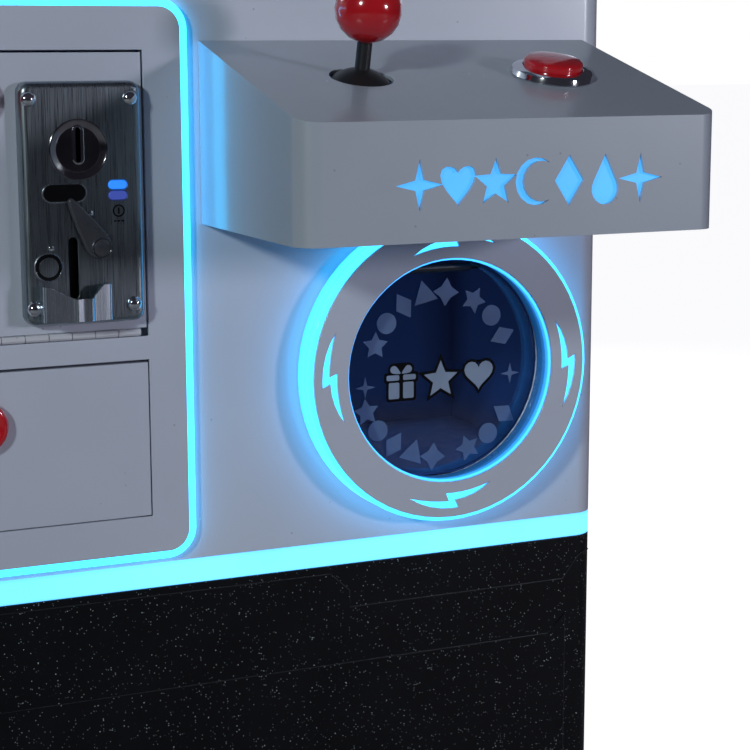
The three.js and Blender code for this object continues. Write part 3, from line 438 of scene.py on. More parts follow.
def marquee_material():
    g = Graph("marquee film")
    low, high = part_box("marquee_panel")
    height = g.span(g.axis(2), low.z, high.z)
    ground = g.ramp(height, [(0.0, (0.03, 0.35, 1.0)), (0.5, (0.12, 0.6, 1.0)), (1.0, (0.06, 0.2, 0.9))])
    large = g.dots(16, 0.12, 0.5, (1, 0.01, 1))
    small = g.dots(45, 0.13, 0.35, (1, 0.01, 1))
    g.colour((0.5, 0.7, 0.9))
    g.glow(g.mix(g.math("MAXIMUM", small, large), ground, (0.85, 0.95, 1.0)), 0.75)
    g.rough(g.span(g.noise(50, 2), 0.3, 0.7, 0.2, 0.3))
    return g.material


def playfield_material():
    g = Graph("playfield laminate")
    ground = g.ramp(g.noise(30, 4), [(0.3, (0.55, 0.58, 0.68)), (0.7, (0.66, 0.68, 0.76))])
    g.colour(g.mix(g.dots(160, 0.2, 0.25), ground, (0.25, 0.42, 0.75)))
    g.rough(g.span(g.noise(200, 2), 0.3, 0.7, 0.4, 0.55))
    g.bump(g.noise(500, 3), 0.00005, 0.3)
    return g.material


WALL = (0.66, 0.7, 0.81)
PANEL = (0.59, 0.62, 0.73)
CONTROL = (0.45, 0.49, 0.57)
LOOKS = {
    "wall": paint("wall enamel", WALL, 0.3, 0.6),
    "panel": paint("panel enamel", PANEL, 0.34, 0.4),
    "control": paint("control box enamel", CONTROL, 0.34, 0.4),
    "ring": paint("ring enamel", PANEL, 0.34, 0.4),
    "black": glitter_paint(),
    "engraved": metal("engraved line", (0.05, 0.055, 0.06), 0.35),
    "plate": brushed_steel("brushed coin plate", (0.31, 0.355, 0.39)),
    "cup": brushed_steel("bent coin cup", (0.66, 0.72, 0.8), roughness=0.26, contrast=0.015),
    "zinc": metal("zinc plate", (0.62, 0.62, 0.66), 0.42, 500, 0.00005),
    "enamelled_zinc": paint("overpainted zinc", (0.66, 0.66, 0.72), 0.4, 0.2),
    "steel": metal("turned steel", (0.5, 0.51, 0.54), 0.28),
    "chrome": metal("polished chrome", (0.78, 0.8, 0.84), 0.08, 90),
    "bronze": metal("dark coin entry", (0.3, 0.28, 0.3), 0.16, 120),
    "lever": plastic("lever charcoal", (0.065, 0.065, 0.08), 0.3, 700, 0.3),
    "black_plastic": plastic("black plastic", (0.014, 0.014, 0.016), 0.4),
    "gloss_black": plastic("gloss black", (0.006, 0.006, 0.007), 0.16, 500, 0.6),
    "inlet": plastic("inlet plastic", (0.018, 0.018, 0.02), 0.45),
    "red": plastic("glossy red", (0.62, 0.012, 0.02), 0.14, 300, 0.8),
    "navy": navy_liner_with_painted_glow(),
    "lock_plug": metal("lock plug", (0.28, 0.34, 0.44), 0.22, 300),
    # Painted shade: the flap's white print is darkened to blue-grey to stand in for the shade it lies in.
    "print_white_painted_shade": plastic("white print in painted shade", (0.24, 0.3, 0.4), 0.5),
    "print_black": plastic("black print", (0.002, 0.002, 0.003), 0.6, specular=0.1),
    "print_blue": plastic("pale blue print", (0.085, 0.145, 0.275), 0.5),
    "flap": clear_sheet("clear flap", (0.93, 0.96, 1.0), 0.012, 60),
    "glass": clear_pane("clear glass", (0.3, 0.38, 0.42), 0.13),
    "back": star_print("printed back", (0.03, 0.05, 0.28), (0.16, 0.4, 0.8), (0.85, 0.9, 1.0)),
    "marquee": marquee_material(),
    "playfield": playfield_material(),
    "rubber": rubber(),
    "cord": plastic("hoist cord", (0.06, 0.06, 0.065), 0.7, 2000),
    "skirt_light": frosted_light(
        "skirt light", (0.12, 0.5, 1.0), 2.1, 2, *(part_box("light_skirt")[i].z for i in (0, 1)),
        [(0.0, 0.85), (0.15, 1.0), (0.85, 1.0), (1.0, 0.8)],
    ),
    "panel_light": frosted_light(
        "panel light", CYAN, 4.8, 1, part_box("coin_panel_light")[1].y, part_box("coin_panel_light")[0].y,
        [(0.0, 0.75), (0.4, 0.85), (0.6, 0.95), (1.0, 1.0)], rim=("coin_panel_light", 0.008),
    ),
    "control_light": frosted_light(
        "control light", SKY, 1.0, 2, *(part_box("control_box_light")[i].z for i in (0, 1)),
        [(0.0, 0.8), (0.3, 1.0), (1.0, 0.9)],
    ),
    "ring_light": ring_light_material(),
    "led_on": frosted_light("coin light on", (0.02, 0.22, 1.0), 1.0, 2, 0, 1, [(0.0, 1.0), (1.0, 1.0)]),
    "led_off": frosted_light(
        "coin light dim", (0.05, 0.085, 0.45), 0.7, 2, 0, 1, [(0.0, 1.0), (1.0, 1.0)], (0.04, 0.05, 0.15)
    ),
}


# ---------------------------------------------------------------- CAD nodes that stay


def finish_node(name, look, bevel=0.5):
    """Gives a CAD node its material, and rounds its sharp edges by bevel millimetres."""
    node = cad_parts[name]
    mesh = node.data
    mesh.materials.clear()
    mesh.materials.append(LOOKS[look])
    for attribute in ("custom_normal", "sharp_edge", "sharp_face"):
        if attribute in mesh.attributes:
            mesh.attributes.remove(mesh.attributes[attribute])
    mesh.shade_smooth()
    weld = node.modifiers.new("weld", "WELD")
    weld.merge_threshold = 0.00001
    if bevel:
        flat = node.modifiers.new("merge flats", "DECIMATE")
        flat.decimate_type = "DISSOLVE"
        flat.angle_limit = math.radians(0.6)
        edge = node.modifiers.new("soft edges", "BEVEL")
        edge.width = bevel * MM
        edge.segments = 2
        edge.limit_method = "ANGLE"
        edge.angle_limit = math.radians(40)
        edge.use_clamp_overlap = True
        node.modifiers.new("level faces", "WEIGHTED_NORMAL")
    else:
        split = node.modifiers.new("split", "EDGE_SPLIT")
        split.split_angle = math.radians(32)


NODE_LOOKS = {
    "foot_front_left": ("rubber", 0.8), "foot_front_right": ("rubber", 0.8),
    "foot_rear_left": ("rubber", 0.8), "foot_rear_right": ("rubber", 0.8),
    "base_cabinet": ("black", 0.5), "base_door": ("black", 0.5),
    "light_skirt": ("skirt_light", 0.5), "lower_body": ("wall", 0.5), "service_door": ("wall", 0.5),
    "power_inlet": ("inlet", 0.3), "power_switch": ("red", 0.3),
    "coin_panel": ("panel", 0.5), "coin_panel_light": ("panel_light", 0.4),
    "coin_hinge_fixed_leaf": ("enamelled_zinc", 0.0), "coin_hinge_door_leaf": ("enamelled_zinc", 0.0),
    "coin_door": ("panel", 0.4), "cash_door": ("panel", 0.4), "cash_bin": ("zinc", 0.3),
    "coin_selector_left": ("black_plastic", 0.5), "coin_selector_right": ("black_plastic", 0.5),
    "prize_ring_face": ("ring", 0.3), "prize_ring_light": ("ring_light", 0.3), "prize_box": ("navy", 0.4),
    "control_box": ("control", 1.2), "control_box_light": ("control_light", 0.3),
    "joystick_base": ("black_plastic", 0.4), "joystick_gimbal": ("steel", 0.2),
    "joystick_shaft": ("black_plastic", 0.3), "joystick_ball": ("red", 0.0),
    "button_bezel": ("chrome", 0.3), "grab_button": ("red", 0.6),
    "playfield": ("playfield", 0.5), "chute_guard": ("glass", 0.4),
    "left_frame": ("wall", 0.8), "right_frame": ("wall", 0.8), "left_glass": ("glass", 0.3),
    "right_glass": ("glass", 0.3), "back_panel": ("back", 0.3), "front_door_frame": ("wall", 0.8),
    "front_door_glass": ("glass", 0.3), "top_box": ("wall", 0.6), "marquee_panel": ("marquee", 0.3),
    "gantry_frame": ("zinc", 0.4), "bridge": ("zinc", 0.4), "trolley": ("black_plastic", 0.5),
    "winch_drum": ("steel", 0.2), "claw_housing": ("chrome", 0.3), "claw_plunger": ("steel", 0.3),
    "claw_finger_1": ("chrome", 0.4), "claw_finger_2": ("chrome", 0.4), "claw_finger_3": ("chrome", 0.4),
}
CLEAR_NODES = ("chute_guard", "left_glass", "right_glass", "front_door_glass")


# ---------------------------------------------------------------- outlines, in millimetres


def arc_points(x, z, radius, start, end, steps):
    angles = [math.radians(start + (end - start) * i / steps) for i in range(steps + 1)]
    return [(x + radius * math.cos(a), z + radius * math.sin(a)) for a in angles]


def circle(x, z, radius, steps=48):
    return arc_points(x, z, radius, 0, 360, steps)[:-1]


def rounded_rectangle(x0, x1, z0, z1, radius, steps=6):
    corners = [(x1 - radius, z0 + radius, -90), (x1 - radius, z1 - radius, 0),
               (x0 + radius, z1 - radius, 90), (x0 + radius, z0 + radius, 180)]
    return [p for x, z, a in corners for p in arc_points(x, z, radius, a, a + 90, steps)]


def capsule(x, z, width, height, steps=8):
    """A slot shape with fully round ends, upright or lying."""
    radius = min(width, height) / 2 - 0.001
    return rounded_rectangle(x - width / 2, x + width / 2, z - height / 2, z + height / 2, radius, steps)


def star(x, z, tips, outer, inner, turn=90):
    steps = [math.radians(turn + 180 * i / tips) for i in range(tips * 2)]
    return [(x + r * math.cos(a), z + r * math.sin(a))
            for i, a in enumerate(steps) for r in [inner if i % 2 else outer]]


def heart(x, z, size, steps=28):
    made = []
    for i in range(steps):
        t = 2 * math.pi * i / steps
        across = 16 * math.sin(t) ** 3
        along = 13 * math.cos(t) - 5 * math.cos(2 * t) - 2 * math.cos(3 * t) - math.cos(4 * t)
        made.append((x - across * size / 32, z + along * size / 32))
    return made


def teardrop(start, end, start_radius, end_radius, steps=14):
    """Round at both ends, narrowing from start to end along a slightly hollow side."""
    (x0, z0), (x1, z1) = start, end
    length = math.hypot(x1 - x0, z1 - z0)
    ux, uz = (x1 - x0) / length, (z1 - z0) / length
    heading = math.degrees(math.atan2(uz, ux))
    sides = []
    for i in range(1, steps):
        t = i / steps
        half = start_radius * (1 - t) ** 0.85 + end_radius * t ** 0.6
        sides.append((x0 + ux * length * t, z0 + uz * length * t, half))
    right = [(x + uz * h, z - ux * h) for x, z, h in sides]
    left = [(x - uz * h, z + ux * h) for x, z, h in reversed(sides)]
    tip = arc_points(x1, z1, end_radius, heading - 80, heading + 80, 8)
    heel = arc_points(x0, z0, start_radius, heading + 95, heading + 265, 18)
    return [*right, *tip, *left, *heel]


def inset(loop, distance):
    """The loop moved inwards; it runs anticlockwise seen from the front."""
    moved = []
    for i, (x, z) in enumerate(loop):
        before = Vector((x, z)) - Vector(loop[i - 1])
        after = Vector(loop[(i + 1) % len(loop)]) - Vector((x, z))
        a = Vector((-before.y, before.x)).normalized()
        b = Vector((-after.y, after.x)).normalized()
        step = (a + b) * (distance / max(1 + a.dot(b), 0.3))
        moved.append((x + step.x, z + step.y))
    return moved


def shift(loop, dx, dz):
    return [(x + dx, z + dz) for x, z in loop]


# ---------------------------------------------------------------- mesh builders


def add_piece(name, bm, look, body, weighted=True):
    """Turns the bmesh, in millimetres, into a shown piece that rides on a CAD body."""
    bmesh.ops.scale(bm, vec=(MM, MM, MM), verts=bm.verts)
    bmesh.ops.recalc_face_normals(bm, faces=bm.faces)
    mesh = bpy.data.meshes.new(name)
    bm.to_mesh(mesh)
    bm.free()
    mesh.materials.append(LOOKS[look])
    mesh.shade_smooth()
    mesh.set_sharp_from_angle(angle=math.radians(38))
    piece = bpy.data.objects.new(name, mesh)
    bpy.context.scene.collection.objects.link(piece)
    if weighted:
        level = piece.modifiers.new("level faces", "WEIGHTED_NORMAL")
        level.keep_sharp = True
    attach(piece, body)
    return piece


def bridge(bm, first, second):
    count = len(first)
    for i in range(count):
        j = (i + 1) % count
        bm.faces.new((first[i], first[j], second[j], second[i]))


def fill(bm, loops):
    """Closes the outer loop, leaving the other loops open as holes."""
    verts = [v for loop in loops for v in loop]
    for triangle in tessellate_polygon([[v.co for v in loop] for loop in loops]):
        bm.faces.new([verts[i] for i in triangle])


def ring_of(bm, loop, y):
    return [bm.verts.new((x, y, z)) for x, z in loop]


def rounded_edge(front, radius, steps=4):
    """(inset, y) pairs round a front edge, from the side to the face."""
    turns = [math.pi / 2 * i / steps for i in range(steps + 1)]
    return [(radius * (1 - math.cos(t)), front + radius * (1 - math.sin(t))) for t in turns]


def plate_mesh(bm, loop, front, back, radius=0.3, holes=(), hole_back=None, steps=3, closed=True):
    """A plate seen from the front, with a rounded front edge, through holes and a back."""
    rings = [ring_of(bm, loop, back)]
    rings += [ring_of(bm, inset(loop, d), y) for d, y in rounded_edge(front, radius, steps)]
    for first, second in zip(rings, rings[1:]):
        bridge(bm, first, second)
    lip = min(radius, 0.3)
    mouths = []
    ends = []
    for hole in holes:
        sides = [ring_of(bm, inset(hole, -lip), front), ring_of(bm, hole, front + lip)]
        sides.append(ring_of(bm, hole, back if hole_back is None else hole_back))
        for first, second in zip(sides, sides[1:]):
            bridge(bm, first, second)
        mouths.append(sides[0])
        ends.append(sides[-1])
    fill(bm, [rings[-1], *mouths])
    if closed:
        fill(bm, [rings[0], *ends])


def add_plate(name, loop, front, back, look, body, slot=None, **options):
    bm = bmesh.new()
    plate_mesh(bm, loop, front, back, **options)
    return add_piece(name, bm, look, body)


def spin_mesh(bm, profile, centre, segments=48):
    """Turns (radius, y) pairs about an axis along Y through centre (x, z)."""
    rings = []
    for radius, y in profile:
        if radius < 0.001:
            rings.append([bm.verts.new((centre[0], y, centre[1]))])
            continue
        rings.append(ring_of(bm, circle(*centre, radius, segments), y))
    for first, second in zip(rings, rings[1:]):
        if len(first) == 1 or len(second) == 1:
            point, loop = (first[0], second) if len(first) == 1 else (second[0], first)
            for i in range(segments):
                bm.faces.new((point, loop[i], loop[(i + 1) % segments]))
        else:
            bridge(bm, first, second)


def add_spin(name, profile, centre, look, body, segments=48):
    bm = bmesh.new()
    spin_mesh(bm, profile, centre, segments)
    return add_piece(name, bm, look, body)


def dome(radius, height, y, steps=6):
    """A domed head that stands height proud of y."""
    turns = [math.pi / 2 * i / steps for i in range(steps + 1)]
    edge = [(radius * 0.999, y + 0.2)]
    return edge + [(radius * math.cos(t), y - height * math.sin(t)) for t in turns]


# ---------------------------------------------------------------- coin plates


def millimetres(node):
    low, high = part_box(node)
    return low / MM, high / MM


def soften(corners, steps=4):
    """Rounds the corners of an open line; each corner is (x, y, radius)."""
    line = [corners[0][:2]]
    for before, here, after in zip(corners, corners[1:], corners[2:]):
        corner = Vector(here[:2])
        start = corner + (Vector(before[:2]) - corner).normalized() * here[2]
        end = corner + (Vector(after[:2]) - corner).normalized() * here[2]
        for i in range(steps + 1):
            t = i / steps
            line.append(tuple(start.lerp(corner, t).lerp(corner.lerp(end, t), t)))
    return [*line, corners[-1][:2]]


def bent_cup(bm, x, face, bottom):
    """The folded coin cup: two flat cheeks, a grooved nose between them, and a top that dips to it."""
    nose = -4.2
    plan = soften([(-25.5, 0, 0), (-25.5, -9.4, 2.2), (-9.6, -10.4, 0.9), (-8.4, -12, 0.9), (nose, -11, 1.2),
                   (0, -12, 0.9), (1.2, -10.4, 0.9), (6.8, -9.8, 0.6), (11.5, -9.2, 2.2), (11.5, 0, 0)])

    def top(px):
        from_nose = max(0.0, abs(px - nose) - 4.6)
        return 11.8 + 7 * min(1.0, from_nose / (13 if px < nose else 6.5))

    middle = -7
    outer = [(x + px, face + py) for px, py in plan]
    inner = [(x + middle + (px - middle) * 0.935, face + min(py + 1.2, 0)) for px, py in plan]
    heights = [[bottom, bottom + top(px) * 0.5, bottom + top(px)] for px, _ in plan]
    walls = []
    for line in (outer, inner):
        walls.append([[bm.verts.new((px, py, h)) for h in hs] for (px, py), hs in zip(line, heights)])
    for wall in walls:
        for a, b in zip(wall, wall[1:]):
            for i in range(2):
                bm.faces.new((a[i], b[i], b[i + 1], a[i + 1]))
    for i in (0, 2):
        for (a, b), (c, d) in zip(zip(walls[0], walls[0][1:]), zip(walls[1], walls[1][1:])):
            bm.faces.new((a[i], b[i], d[i], c[i]))
    floor = [bm.verts.new(column[0].co + Vector((0, 0, 1.2))) for column in walls[1]]
    bm.faces.new(floor)


# Places on a coin plate, counted from the middle of its bottom edge.
PLATE_DEPTH = 9
SCREWS = [(-28, 9.5), (26, 9.5), (-28, 118), (26, 118)]
RIVETS = [(-18.3, 41), (3.2, 58.5)]
MEDAL = (-20, 31)
LABEL = (-10.4, 69.5)
ICON = (18.5, 57.5)
WINDOW_X = 18.4
WINDOWS = [("on", 73, "led_on"), ("dim", 67.4, "led_off")]
ENTRY = (-2.2, 91.8)
ENTRY_MOUTH_Z = 94.2
EXIT = (-6.5, 29.8)

PLATE_BODY = "coin_door"
STEEL_SLOT = "coin_plate_steel"
CHROME_SLOT = "polished_chrome"


def add_coin_plate(side):
    """A steel tray with a bent cup, and what is set into its face."""
    tag = "coin_plate_" + side
    low, high = millimetres(tag)
    x, z = (low.x + high.x) / 2, low.z
    face = high.y - PLATE_DEPTH
    add_tray(tag, low, high, x, z)
    for i, (dx, dz) in enumerate(SCREWS):
        add_head(f"{tag}_screw_{i + 1}", (x + dx, z + dz), dome(4, 2.9, face), 28)
    for i, (dx, dz) in enumerate(RIVETS):
        add_head(f"{tag}_rivet_{i + 1}", (x + dx, z + dz), dome(1.7, 0.9, face), 20)
    add_medal(tag, (x + MEDAL[0], z + MEDAL[1]), face)
    add_label(tag, x, z, face)
    add_windows(tag, x, z, face)
    add_entry(tag, x, z, face)
    add_coin_icon(tag, x + ICON[0], z + ICON[1], face, PLATE_BODY)


def add_tray(tag, low, high, x, z):
    """The folded face with its openings, its black backing, and the bent cup."""
    back = high.y
    face = back - PLATE_DEPTH
    holes = [shift(capsule(*EXIT, 5, 32.6), x, z)]
    holes += [shift(capsule(WINDOW_X, height, 10.4, 5), x, z) for _, height, _ in WINDOWS]
    holes.append(circle(x + ENTRY[0], z + ENTRY[1], 15.6, 64))
    outline = rounded_rectangle(low.x, high.x, z, high.z, 6, 8)
    plate = add_plate(tag + "_face", outline, face, back, "plate", PLATE_BODY, STEEL_SLOT,
                      radius=4, holes=holes, hole_back=face + 1.5, steps=8, closed=False)
    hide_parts(tag)
    back_loop = inset(outline, 0.6)
    add_plate(tag + "_backing", back_loop, back - 1.2, back, "black_plastic", PLATE_BODY, STEEL_SLOT)
    bm = bmesh.new()
    bent_cup(bm, x, face + 0.2, z + 3)
    add_piece(tag + "_cup", bm, "cup", PLATE_BODY)


def add_head(name, centre, profile, segments):
    """A domed screw or rivet head."""
    add_spin(name, profile, centre, "chrome", PLATE_BODY, segments)


def add_medal(tag, centre, face):
    """A small round badge: a bright edge, a black rim and a plain steel disc."""
    edge = [(7.9, face + 0.1), (7.9, face - 0.35), (7.6, face - 0.6), (7.2, face - 0.6), (6.9, face - 0.2)]
    add_spin(tag + "_medal_edge", edge, centre, "cup", PLATE_BODY, 40)
    medal = [(7, face + 0.2), (7, face - 0.3), (6.7, face - 0.4), (0, face - 0.4)]
    add_spin(tag + "_medal_rim", medal, centre, "gloss_black", PLATE_BODY, 36)
    disc = [(5.2, face), (5.2, face - 0.45), (5.0, face - 0.55), (0, face - 0.55)]
    add_spin(tag + "_medal", disc, centre, "plate", PLATE_BODY, 36)


def add_label(tag, x, z, face):
    """The blank black label, lying in a thin bright rim."""
    rim = shift(capsule(*LABEL, 24, 10.2), x, z)
    add_plate(tag + "_label_rim", rim, face - 0.3, face + 0.1, "cup", PLATE_BODY, STEEL_SLOT, radius=0.25)
    label = shift(capsule(*LABEL, 22.6, 9), x, z)
    add_plate(tag + "_label", label, face - 0.5, face + 0.1, "gloss_black", PLATE_BODY, STEEL_SLOT,
              radius=0.25)


def add_windows(tag, x, z, face):
    """Two small lights, the upper one bright."""
    for name, height, look in WINDOWS:
        window = shift(capsule(WINDOW_X, height, 10, 4.6), x, z)
        add_plate(f"{tag}_window_{name}", window, face - 0.35, face + 1, look, PLATE_BODY, "light_diffuser",
                  radius=0.6)


def add_entry(tag, x, z, face):
    """The coin entry: a dark round recess, and an upright slot with a chrome lip."""
    centre = (x + ENTRY[0], z + ENTRY[1])
    recess = [
        (15.9, face + 0.1), (15.9, face - 0.25), (15.6, face - 0.45), (15.1, face - 0.4),
        (14.7, face), (12, face + 0.9), (11.6, face + 0.95),
    ]
    add_spin(tag + "_entry_recess", recess, centre, "bronze", PLATE_BODY, 64)
    mouth = shift(capsule(ENTRY[0], ENTRY_MOUTH_Z, 2.4, 18), x, z)
    disc = circle(*centre, 11.9, 56)
    add_plate(tag + "_entry", disc, face + 0.8, face + 1.4, "bronze", PLATE_BODY, STEEL_SLOT, radius=0.2,
              holes=[mouth])
    lip = shift(capsule(ENTRY[0], ENTRY_MOUTH_Z, 6.4, 20.6), x, z)
    add_plate(tag + "_entry_lip", lip, face, face + 1, "chrome", PLATE_BODY, CHROME_SLOT, radius=0.5,
              holes=[mouth])


def add_coin_icon(tag, x, z, face, body):
    """A small printed coin sign: a circle round an upright slot, over a short bar."""
    label = rounded_rectangle(x - 4.6, x + 4.6, z - 5.6, z + 6.2, 0.5, 3)
    add_plate(tag + "_icon_label", label, face - 0.1, face + 0.1, "plate", body, STEEL_SLOT, radius=0.08)
    front = face - 0.2
    ring = circle(x, z + 1.8, 3.3, 32)
    add_plate(tag + "_icon_ring", ring, front, face + 0.05, "print_black", body, radius=0.03,
              holes=[circle(x, z + 1.8, 2.5, 32)])
    add_plate(tag + "_icon_slot", capsule(x, z + 1.8, 0.8, 3.4), front, face + 0.05, "print_black", body,
              radius=0.03)
    for i, dx in enumerate((-2, 0, 2)):
        bar = rounded_rectangle(x + dx - 0.7, x + dx + 0.7, z - 4, z - 3.2, 0.2, 2)
        add_plate(f"{tag}_icon_bar_{i + 1}", bar, front, face + 0.05, "print_black", body, radius=0.03)


def add_lever(side):
    """The coin return lever: a drop-shaped arm with a collar, a cap and its post."""
    node = "coin_return_lever_" + side
    low, high = millimetres(node)
    x, z = low.x + 22.5, low.z + 5.5
    front = low.y + 2.2
    body = "coin_return_" + side
    outline = teardrop((x - 1, z + 1), (x - 15.5, z + 24.5), 7, 1.7)
    lever = add_plate(node + "_arm", outline, front, front + 3.2, "lever", body, "polished_chrome",
                      radius=1.1, steps=4)
    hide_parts(node)
    pivot = (x, z)
    collar = [
        (5.6, front + 0.2), (5.6, front - 1.0), (5.3, front - 1.4), (4.9, front - 1.4),
        (4.6, front - 1.0), (4.6, front - 0.6),
    ]
    add_spin(node + "_collar", collar, pivot, "chrome", body, 40)
    add_spin(node + "_cap", dome(4.7, 0.9, front - 0.6), pivot, "lever", body, 40)
    post = [(3.6, front + 3), (3.6, high.y)]
    add_spin(node + "_post", post, pivot, "steel", body, 24)


# ---------------------------------------------------------------- locks


def add_lock(tag, centre, front, cam_reach, collar_body, plug_body):
    """A glossy collar, and a plug with a keyway that carries the cam."""
    x, z = centre
    collar = [
        (9.0, front + 19), (9.0, front + 6.1), (14.3, front + 6.1), (14.5, front + 4.8),
        (14.4, front + 3.0), (13.9, front + 1.3), (13.0, front + 0.4), (11.9, front),
        (10.6, front + 0.15), (9.6, front + 0.7), (8.9, front + 1.6), (8.7, front + 3.4),
    ]
    made = add_spin(tag + "_collar", collar, centre, "red", collar_body, 72)
    face = front + 1.6
    bm = bmesh.new()
    keyway = capsule(x, z, 1.6, 7)
    plate_mesh(bm, circle(x, z, 8.4, 48), face, front + 8, radius=0.7, holes=[keyway], hole_back=front + 5,
               closed=False)
    spin_mesh(bm, [(7.4, front + 5), (0, front + 5)], centre, 32)
    plug = add_piece(tag + "_plug", bm, "lock_plug", plug_body)
    back = front + 19.5
    arm = rounded_rectangle(x - 7, x + cam_reach, z - 6, z + 6, 3)
    add_plate(tag + "_cam", arm, back, back + 2.5, "zinc", plug_body, "zinc_steel")
    barrel = [(6.4, front + 7), (6.4, back + 0.1)]
    add_spin(tag + "_barrel", barrel, centre, "lock_plug", plug_body, 28)
    return made, plug


def add_locks():
    low, high = millimetres("cash_lock_collar")
    centre = ((low.x + high.x) / 2, (low.z + high.z) / 2)
    cam = millimetres("cash_lock_plug")[1].x - centre[0]
    collar, plug = add_lock("cash_lock", centre, low.y, cam, "cash_door", "cash_lock")
    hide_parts("cash_lock_collar")
    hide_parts("cash_lock_plug")
    low, high = millimetres("coin_door_lock")
    centre = (low.x + 14.5, (low.z + high.z) / 2)
    lock = "coin_door_lock"
    collar, _ = add_lock(lock, centre, low.y, high.x - centre[0], lock, lock)
    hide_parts(lock)


# ---------------------------------------------------------------- prize flap


def add_flap():
    """The clear flap with its hinge barrel, and the print on it: two arcs of signs and a row of three."""
    low, high = millimetres("prize_flap")
    x = (low.x + high.x) / 2
    z = low.z + 63.5
    middle = (low.y + high.y) / 2
    front, back = middle - 1.5, middle + 1.5
    outline = circle(x, z, 63.4, 120)
    bm = bmesh.new()
    plate_mesh(bm, outline, front, back, radius=0.35, steps=2)
    flap = add_piece("prize_flap_sheet", bm, "flap", "prize_flap")
    flap.visible_shadow = False
    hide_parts("prize_flap")
    add_barrel("prize_flap_barrel", x, middle, z + 58, 20, 2.5)
    add_print(x, z, front)


def add_barrel(name, x, y, z, half, radius):
    """The flap's hinge barrel along X, with its pin ends."""
    bm = bmesh.new()
    pin = half + 6.5
    left_half = [
        (-pin, 0.0), (-pin, 1.2), (-pin + 0.3, 1.5),
        (-half, 1.5), (-half, radius - 0.3), (-half + 0.3, radius),
    ]
    profile = left_half + [(-along, reach) for along, reach in reversed(left_half)]
    turn_along_x(bm, profile, x, y, z, 24)
    add_piece(name, bm, "black_plastic", "prize_flap")


def turn_along_x(bm, profile, x, y, z, segments):
    """Turns (x, radius) pairs about an axis along X; a zero radius closes an end."""
    rings = []
    for along, radius in profile:
        if radius < 0.001:
            rings.append([bm.verts.new((x + along, y, z))] * segments)
            continue
        angles = [2 * math.pi * i / segments for i in range(segments)]
        around = [(y + radius * math.cos(a), z + radius * math.sin(a)) for a in angles]
        rings.append([bm.verts.new((x + along, *spot)) for spot in around])
    for first, second in zip(rings, rings[1:]):
        for i in range(segments):
            j = (i + 1) % segments
            corners = dict.fromkeys((first[i], first[j], second[j], second[i]))
            bm.faces.new(list(corners))


def gift(x, z):
    """The parts of a small present: box, lid and bow."""
    return [
        rounded_rectangle(x - 8, x - 1.2, z - 9, z + 0.6, 0.8, 2),
        rounded_rectangle(x + 1.2, x + 8, z - 9, z + 0.6, 0.8, 2),
        rounded_rectangle(x - 9.3, x - 1.2, z + 1.8, z + 5, 0.8, 2),
        rounded_rectangle(x + 1.2, x + 9.3, z + 1.8, z + 5, 0.8, 2),
        teardrop((x - 4.6, z + 8.2), (x - 0.9, z + 6.1), 2.3, 0.5, 8),
        teardrop((x + 4.6, z + 8.2), (x + 0.9, z + 6.1), 2.3, 0.5, 8),
    ]


def gift_shadow(x, z):
    body = rounded_rectangle(x - 9.6, x + 9.6, z - 10.6, z + 2, 1.6, 4)
    lid = rounded_rectangle(x - 10.9, x + 10.9, z + 0.2, z + 6.6, 1.6, 4)
    bow = rounded_rectangle(x - 8.4, x + 8.4, z + 4.4, z + 12, 3.6, 6)
    return [body, lid, bow]


def add_print(x, z, front):
    """The flap's print: a gift, a star and a heart between two sparkles and two arcs of signs."""
    body = "prize_flap"

    def stick(name, loop, level, look):
        face = front - 0.04 * level - 0.05
        add_plate(name, loop, face, front - 0.01, look, body, "printed_back", radius=0.02, steps=1)

    for i, loop in enumerate(gift_shadow(x - 25, z - 8)):
        stick(f"flap_gift_outline_{i + 1}", loop, 1 + 0.2 * i, "print_black")
    for i, loop in enumerate(gift(x - 25, z - 8)):
        stick(f"flap_gift_{i + 1}", loop, 3, "print_white_painted_shade")
    five = star(x + 0.5, z - 7.6, 5, 11.4, 5.2)
    stick("flap_star_outline", inset(five, -1.7), 1, "print_black")
    stick("flap_star", five, 3, "print_white_painted_shade")
    love = heart(x + 25.5, z - 5.6, 19)
    stick("flap_heart_outline", inset(love, -1.7), 1, "print_black")
    stick("flap_heart", love, 3, "print_white_painted_shade")
    for i, (dx, dz) in enumerate([(-47.8, -9), (46.4, -7.2)]):
        stick(f"flap_sparkle_{i + 1}", star(x + dx, z + dz, 4, 6.4, 1.7), 1, "print_blue")
    add_sign_arc(stick, "flap_top_sign", x, z, 44, [160, 141, 122, 103, 85, 60, 40, 21])
    add_sign_arc(stick, "flap_low_sign", x, z - 1.5, 52, [205, 220, 235, 250, 265, 291, 308, 325])


def add_sign_arc(stick, name, x, z, radius, angles):
    """Small party signs along an arc: ball, gem, star, bar and ring by turns."""
    for i, angle in enumerate(angles):
        turn = math.radians(angle)
        px, pz = x + radius * math.cos(turn), z + radius * math.sin(turn)
        lean = angle if radius < 48 else angle + 180
        shapes = [
            lambda: star(px, pz, 5, 8.2, 4.2, lean),
            lambda: circle(px, pz, 6.2, 24),
            lambda: star(px, pz, 2, 8.4, 5.6, lean),
            lambda: star(px, pz, 3, 8.8, 4.5, lean),
            lambda: star(px, pz, 4, 8.4, 4.6, lean),
        ]
        stick(f"{name}_{i + 1}", shapes[i % len(shapes)](), 1, "print_blue")


# ---------------------------------------------------------------- base lines, rope


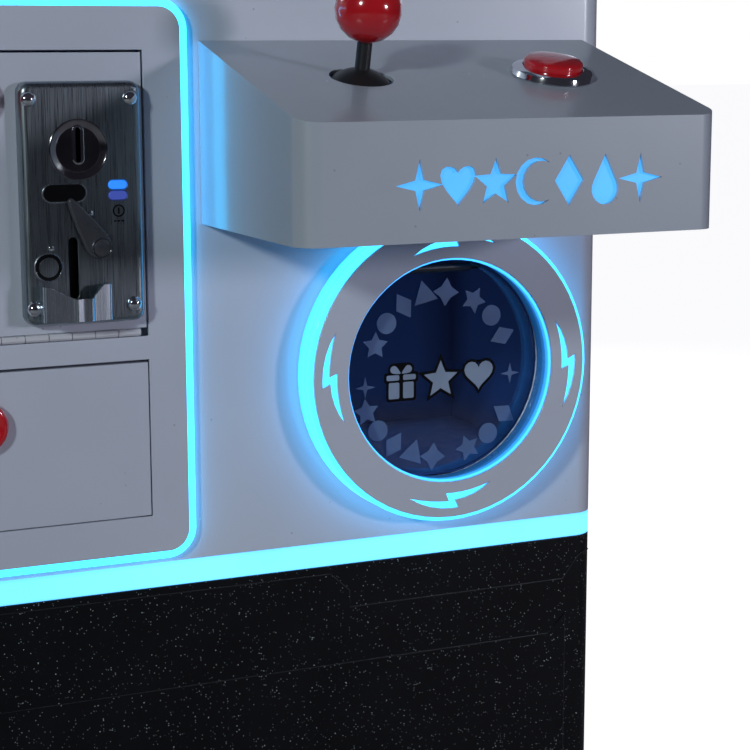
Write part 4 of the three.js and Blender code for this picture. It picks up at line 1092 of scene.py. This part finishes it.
def line_strip(bm, points, width, y):
    """A raised line of that width along points (x, z), just proud of y, with chamfered edges."""
    section = [(-0.5, 0.05), (-0.5, -0.06), (-0.3, -0.12), (0.3, -0.12), (0.5, -0.06), (0.5, 0.05)]
    rings = []
    for i, (x, z) in enumerate(points):
        before = Vector(points[max(i - 1, 0)])
        after = Vector(points[min(i + 1, len(points) - 1)])
        run = (after - before).normalized()
        across = (-run.y * width, run.x * width)
        rings.append([bm.verts.new((x + across[0] * a, y + d, z + across[1] * a)) for a, d in section])
    for first, second in zip(rings, rings[1:]):
        bridge(bm, first, second)
    bm.faces.new(rings[0])
    bm.faces.new(rings[-1])


def add_base_lines():
    """Thin engraved lines with cut corners on the front of the black base: a notched line under the top, and
    a frame.
    """
    low, high = millimetres("base_cabinet")
    top = high.z
    notch = [(low.x + 22, top - 30), (low.x + 22, top - 14), (low.x + 34, top - 4), (86, top - 4.8),
             (98, top - 16), (98, top - 26.2), (241, top - 26.2), (252, top - 12.5), (high.x - 6, top - 9)]
    bottom = [
        (low.x + 22, top - 30), (low.x + 22, low.z + 40), (low.x + 40, low.z + 24),
        (high.x - 40, low.z + 24), (high.x - 22, low.z + 40), (high.x - 22, top - 48),
        (high.x - 34, top - 60), (low.x + 60, top - 60), (low.x + 44, top - 44),
    ]
    for name, points in (("base_line_top", notch), ("base_line_frame", bottom)):
        bm = bmesh.new()
        line_strip(bm, points, 0.7, low.y)
        add_piece(name, bm, "engraved", "cabinet")


def add_rope():
    """The hoist cord: three strands twisted together, from the drum to the claw."""
    low, high = millimetres("hoist_line")
    x, y = (low.x + high.x) / 2, (low.y + high.y) / 2
    steps = 160
    sides = 15
    pitch = 5.5
    bm = bmesh.new()
    rings = []
    for i in range(steps + 1):
        z = low.z + (high.z - low.z) * i / steps
        twist = 2 * math.pi * (z - low.z) / pitch
        ring = []
        for k in range(sides):
            a = 2 * math.pi * k / sides
            radius = 0.78 + 0.2 * abs(math.cos(1.5 * (a - twist)))
            ring.append(bm.verts.new((x + radius * math.cos(a), y + radius * math.sin(a), z)))
        rings.append(ring)
    for first, second in zip(rings, rings[1:]):
        bridge(bm, first, second)
    bm.faces.new(rings[0])
    bm.faces.new(rings[-1])
    bmesh.ops.scale(bm, vec=(MM, MM, MM), verts=bm.verts)
    bmesh.ops.recalc_face_normals(bm, faces=bm.faces)
    mesh = bpy.data.meshes.new("hoist_cord")
    bm.to_mesh(mesh)
    bm.free()
    mesh.materials.append(LOOKS["cord"])
    mesh.shade_smooth()
    rope = bpy.data.objects.new("hoist_cord", mesh)
    bpy.context.scene.collection.objects.link(rope)
    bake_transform(rope)
    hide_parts("hoist_line")


# ---------------------------------------------------------------- the whole scene

add_camera()
add_lights()
add_world()
add_floor()
bpy.context.scene.view_settings.view_transform = "Standard"

for node_name, (look_name, edge_size) in NODE_LOOKS.items():
    finish_node(node_name, look_name, edge_size)
for node_name in CLEAR_NODES:
    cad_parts[node_name].visible_shadow = False

for plate_side in ("left", "right"):
    add_coin_plate(plate_side)
    add_lever(plate_side)
add_locks()
add_flap()
add_base_lines()
add_rope()
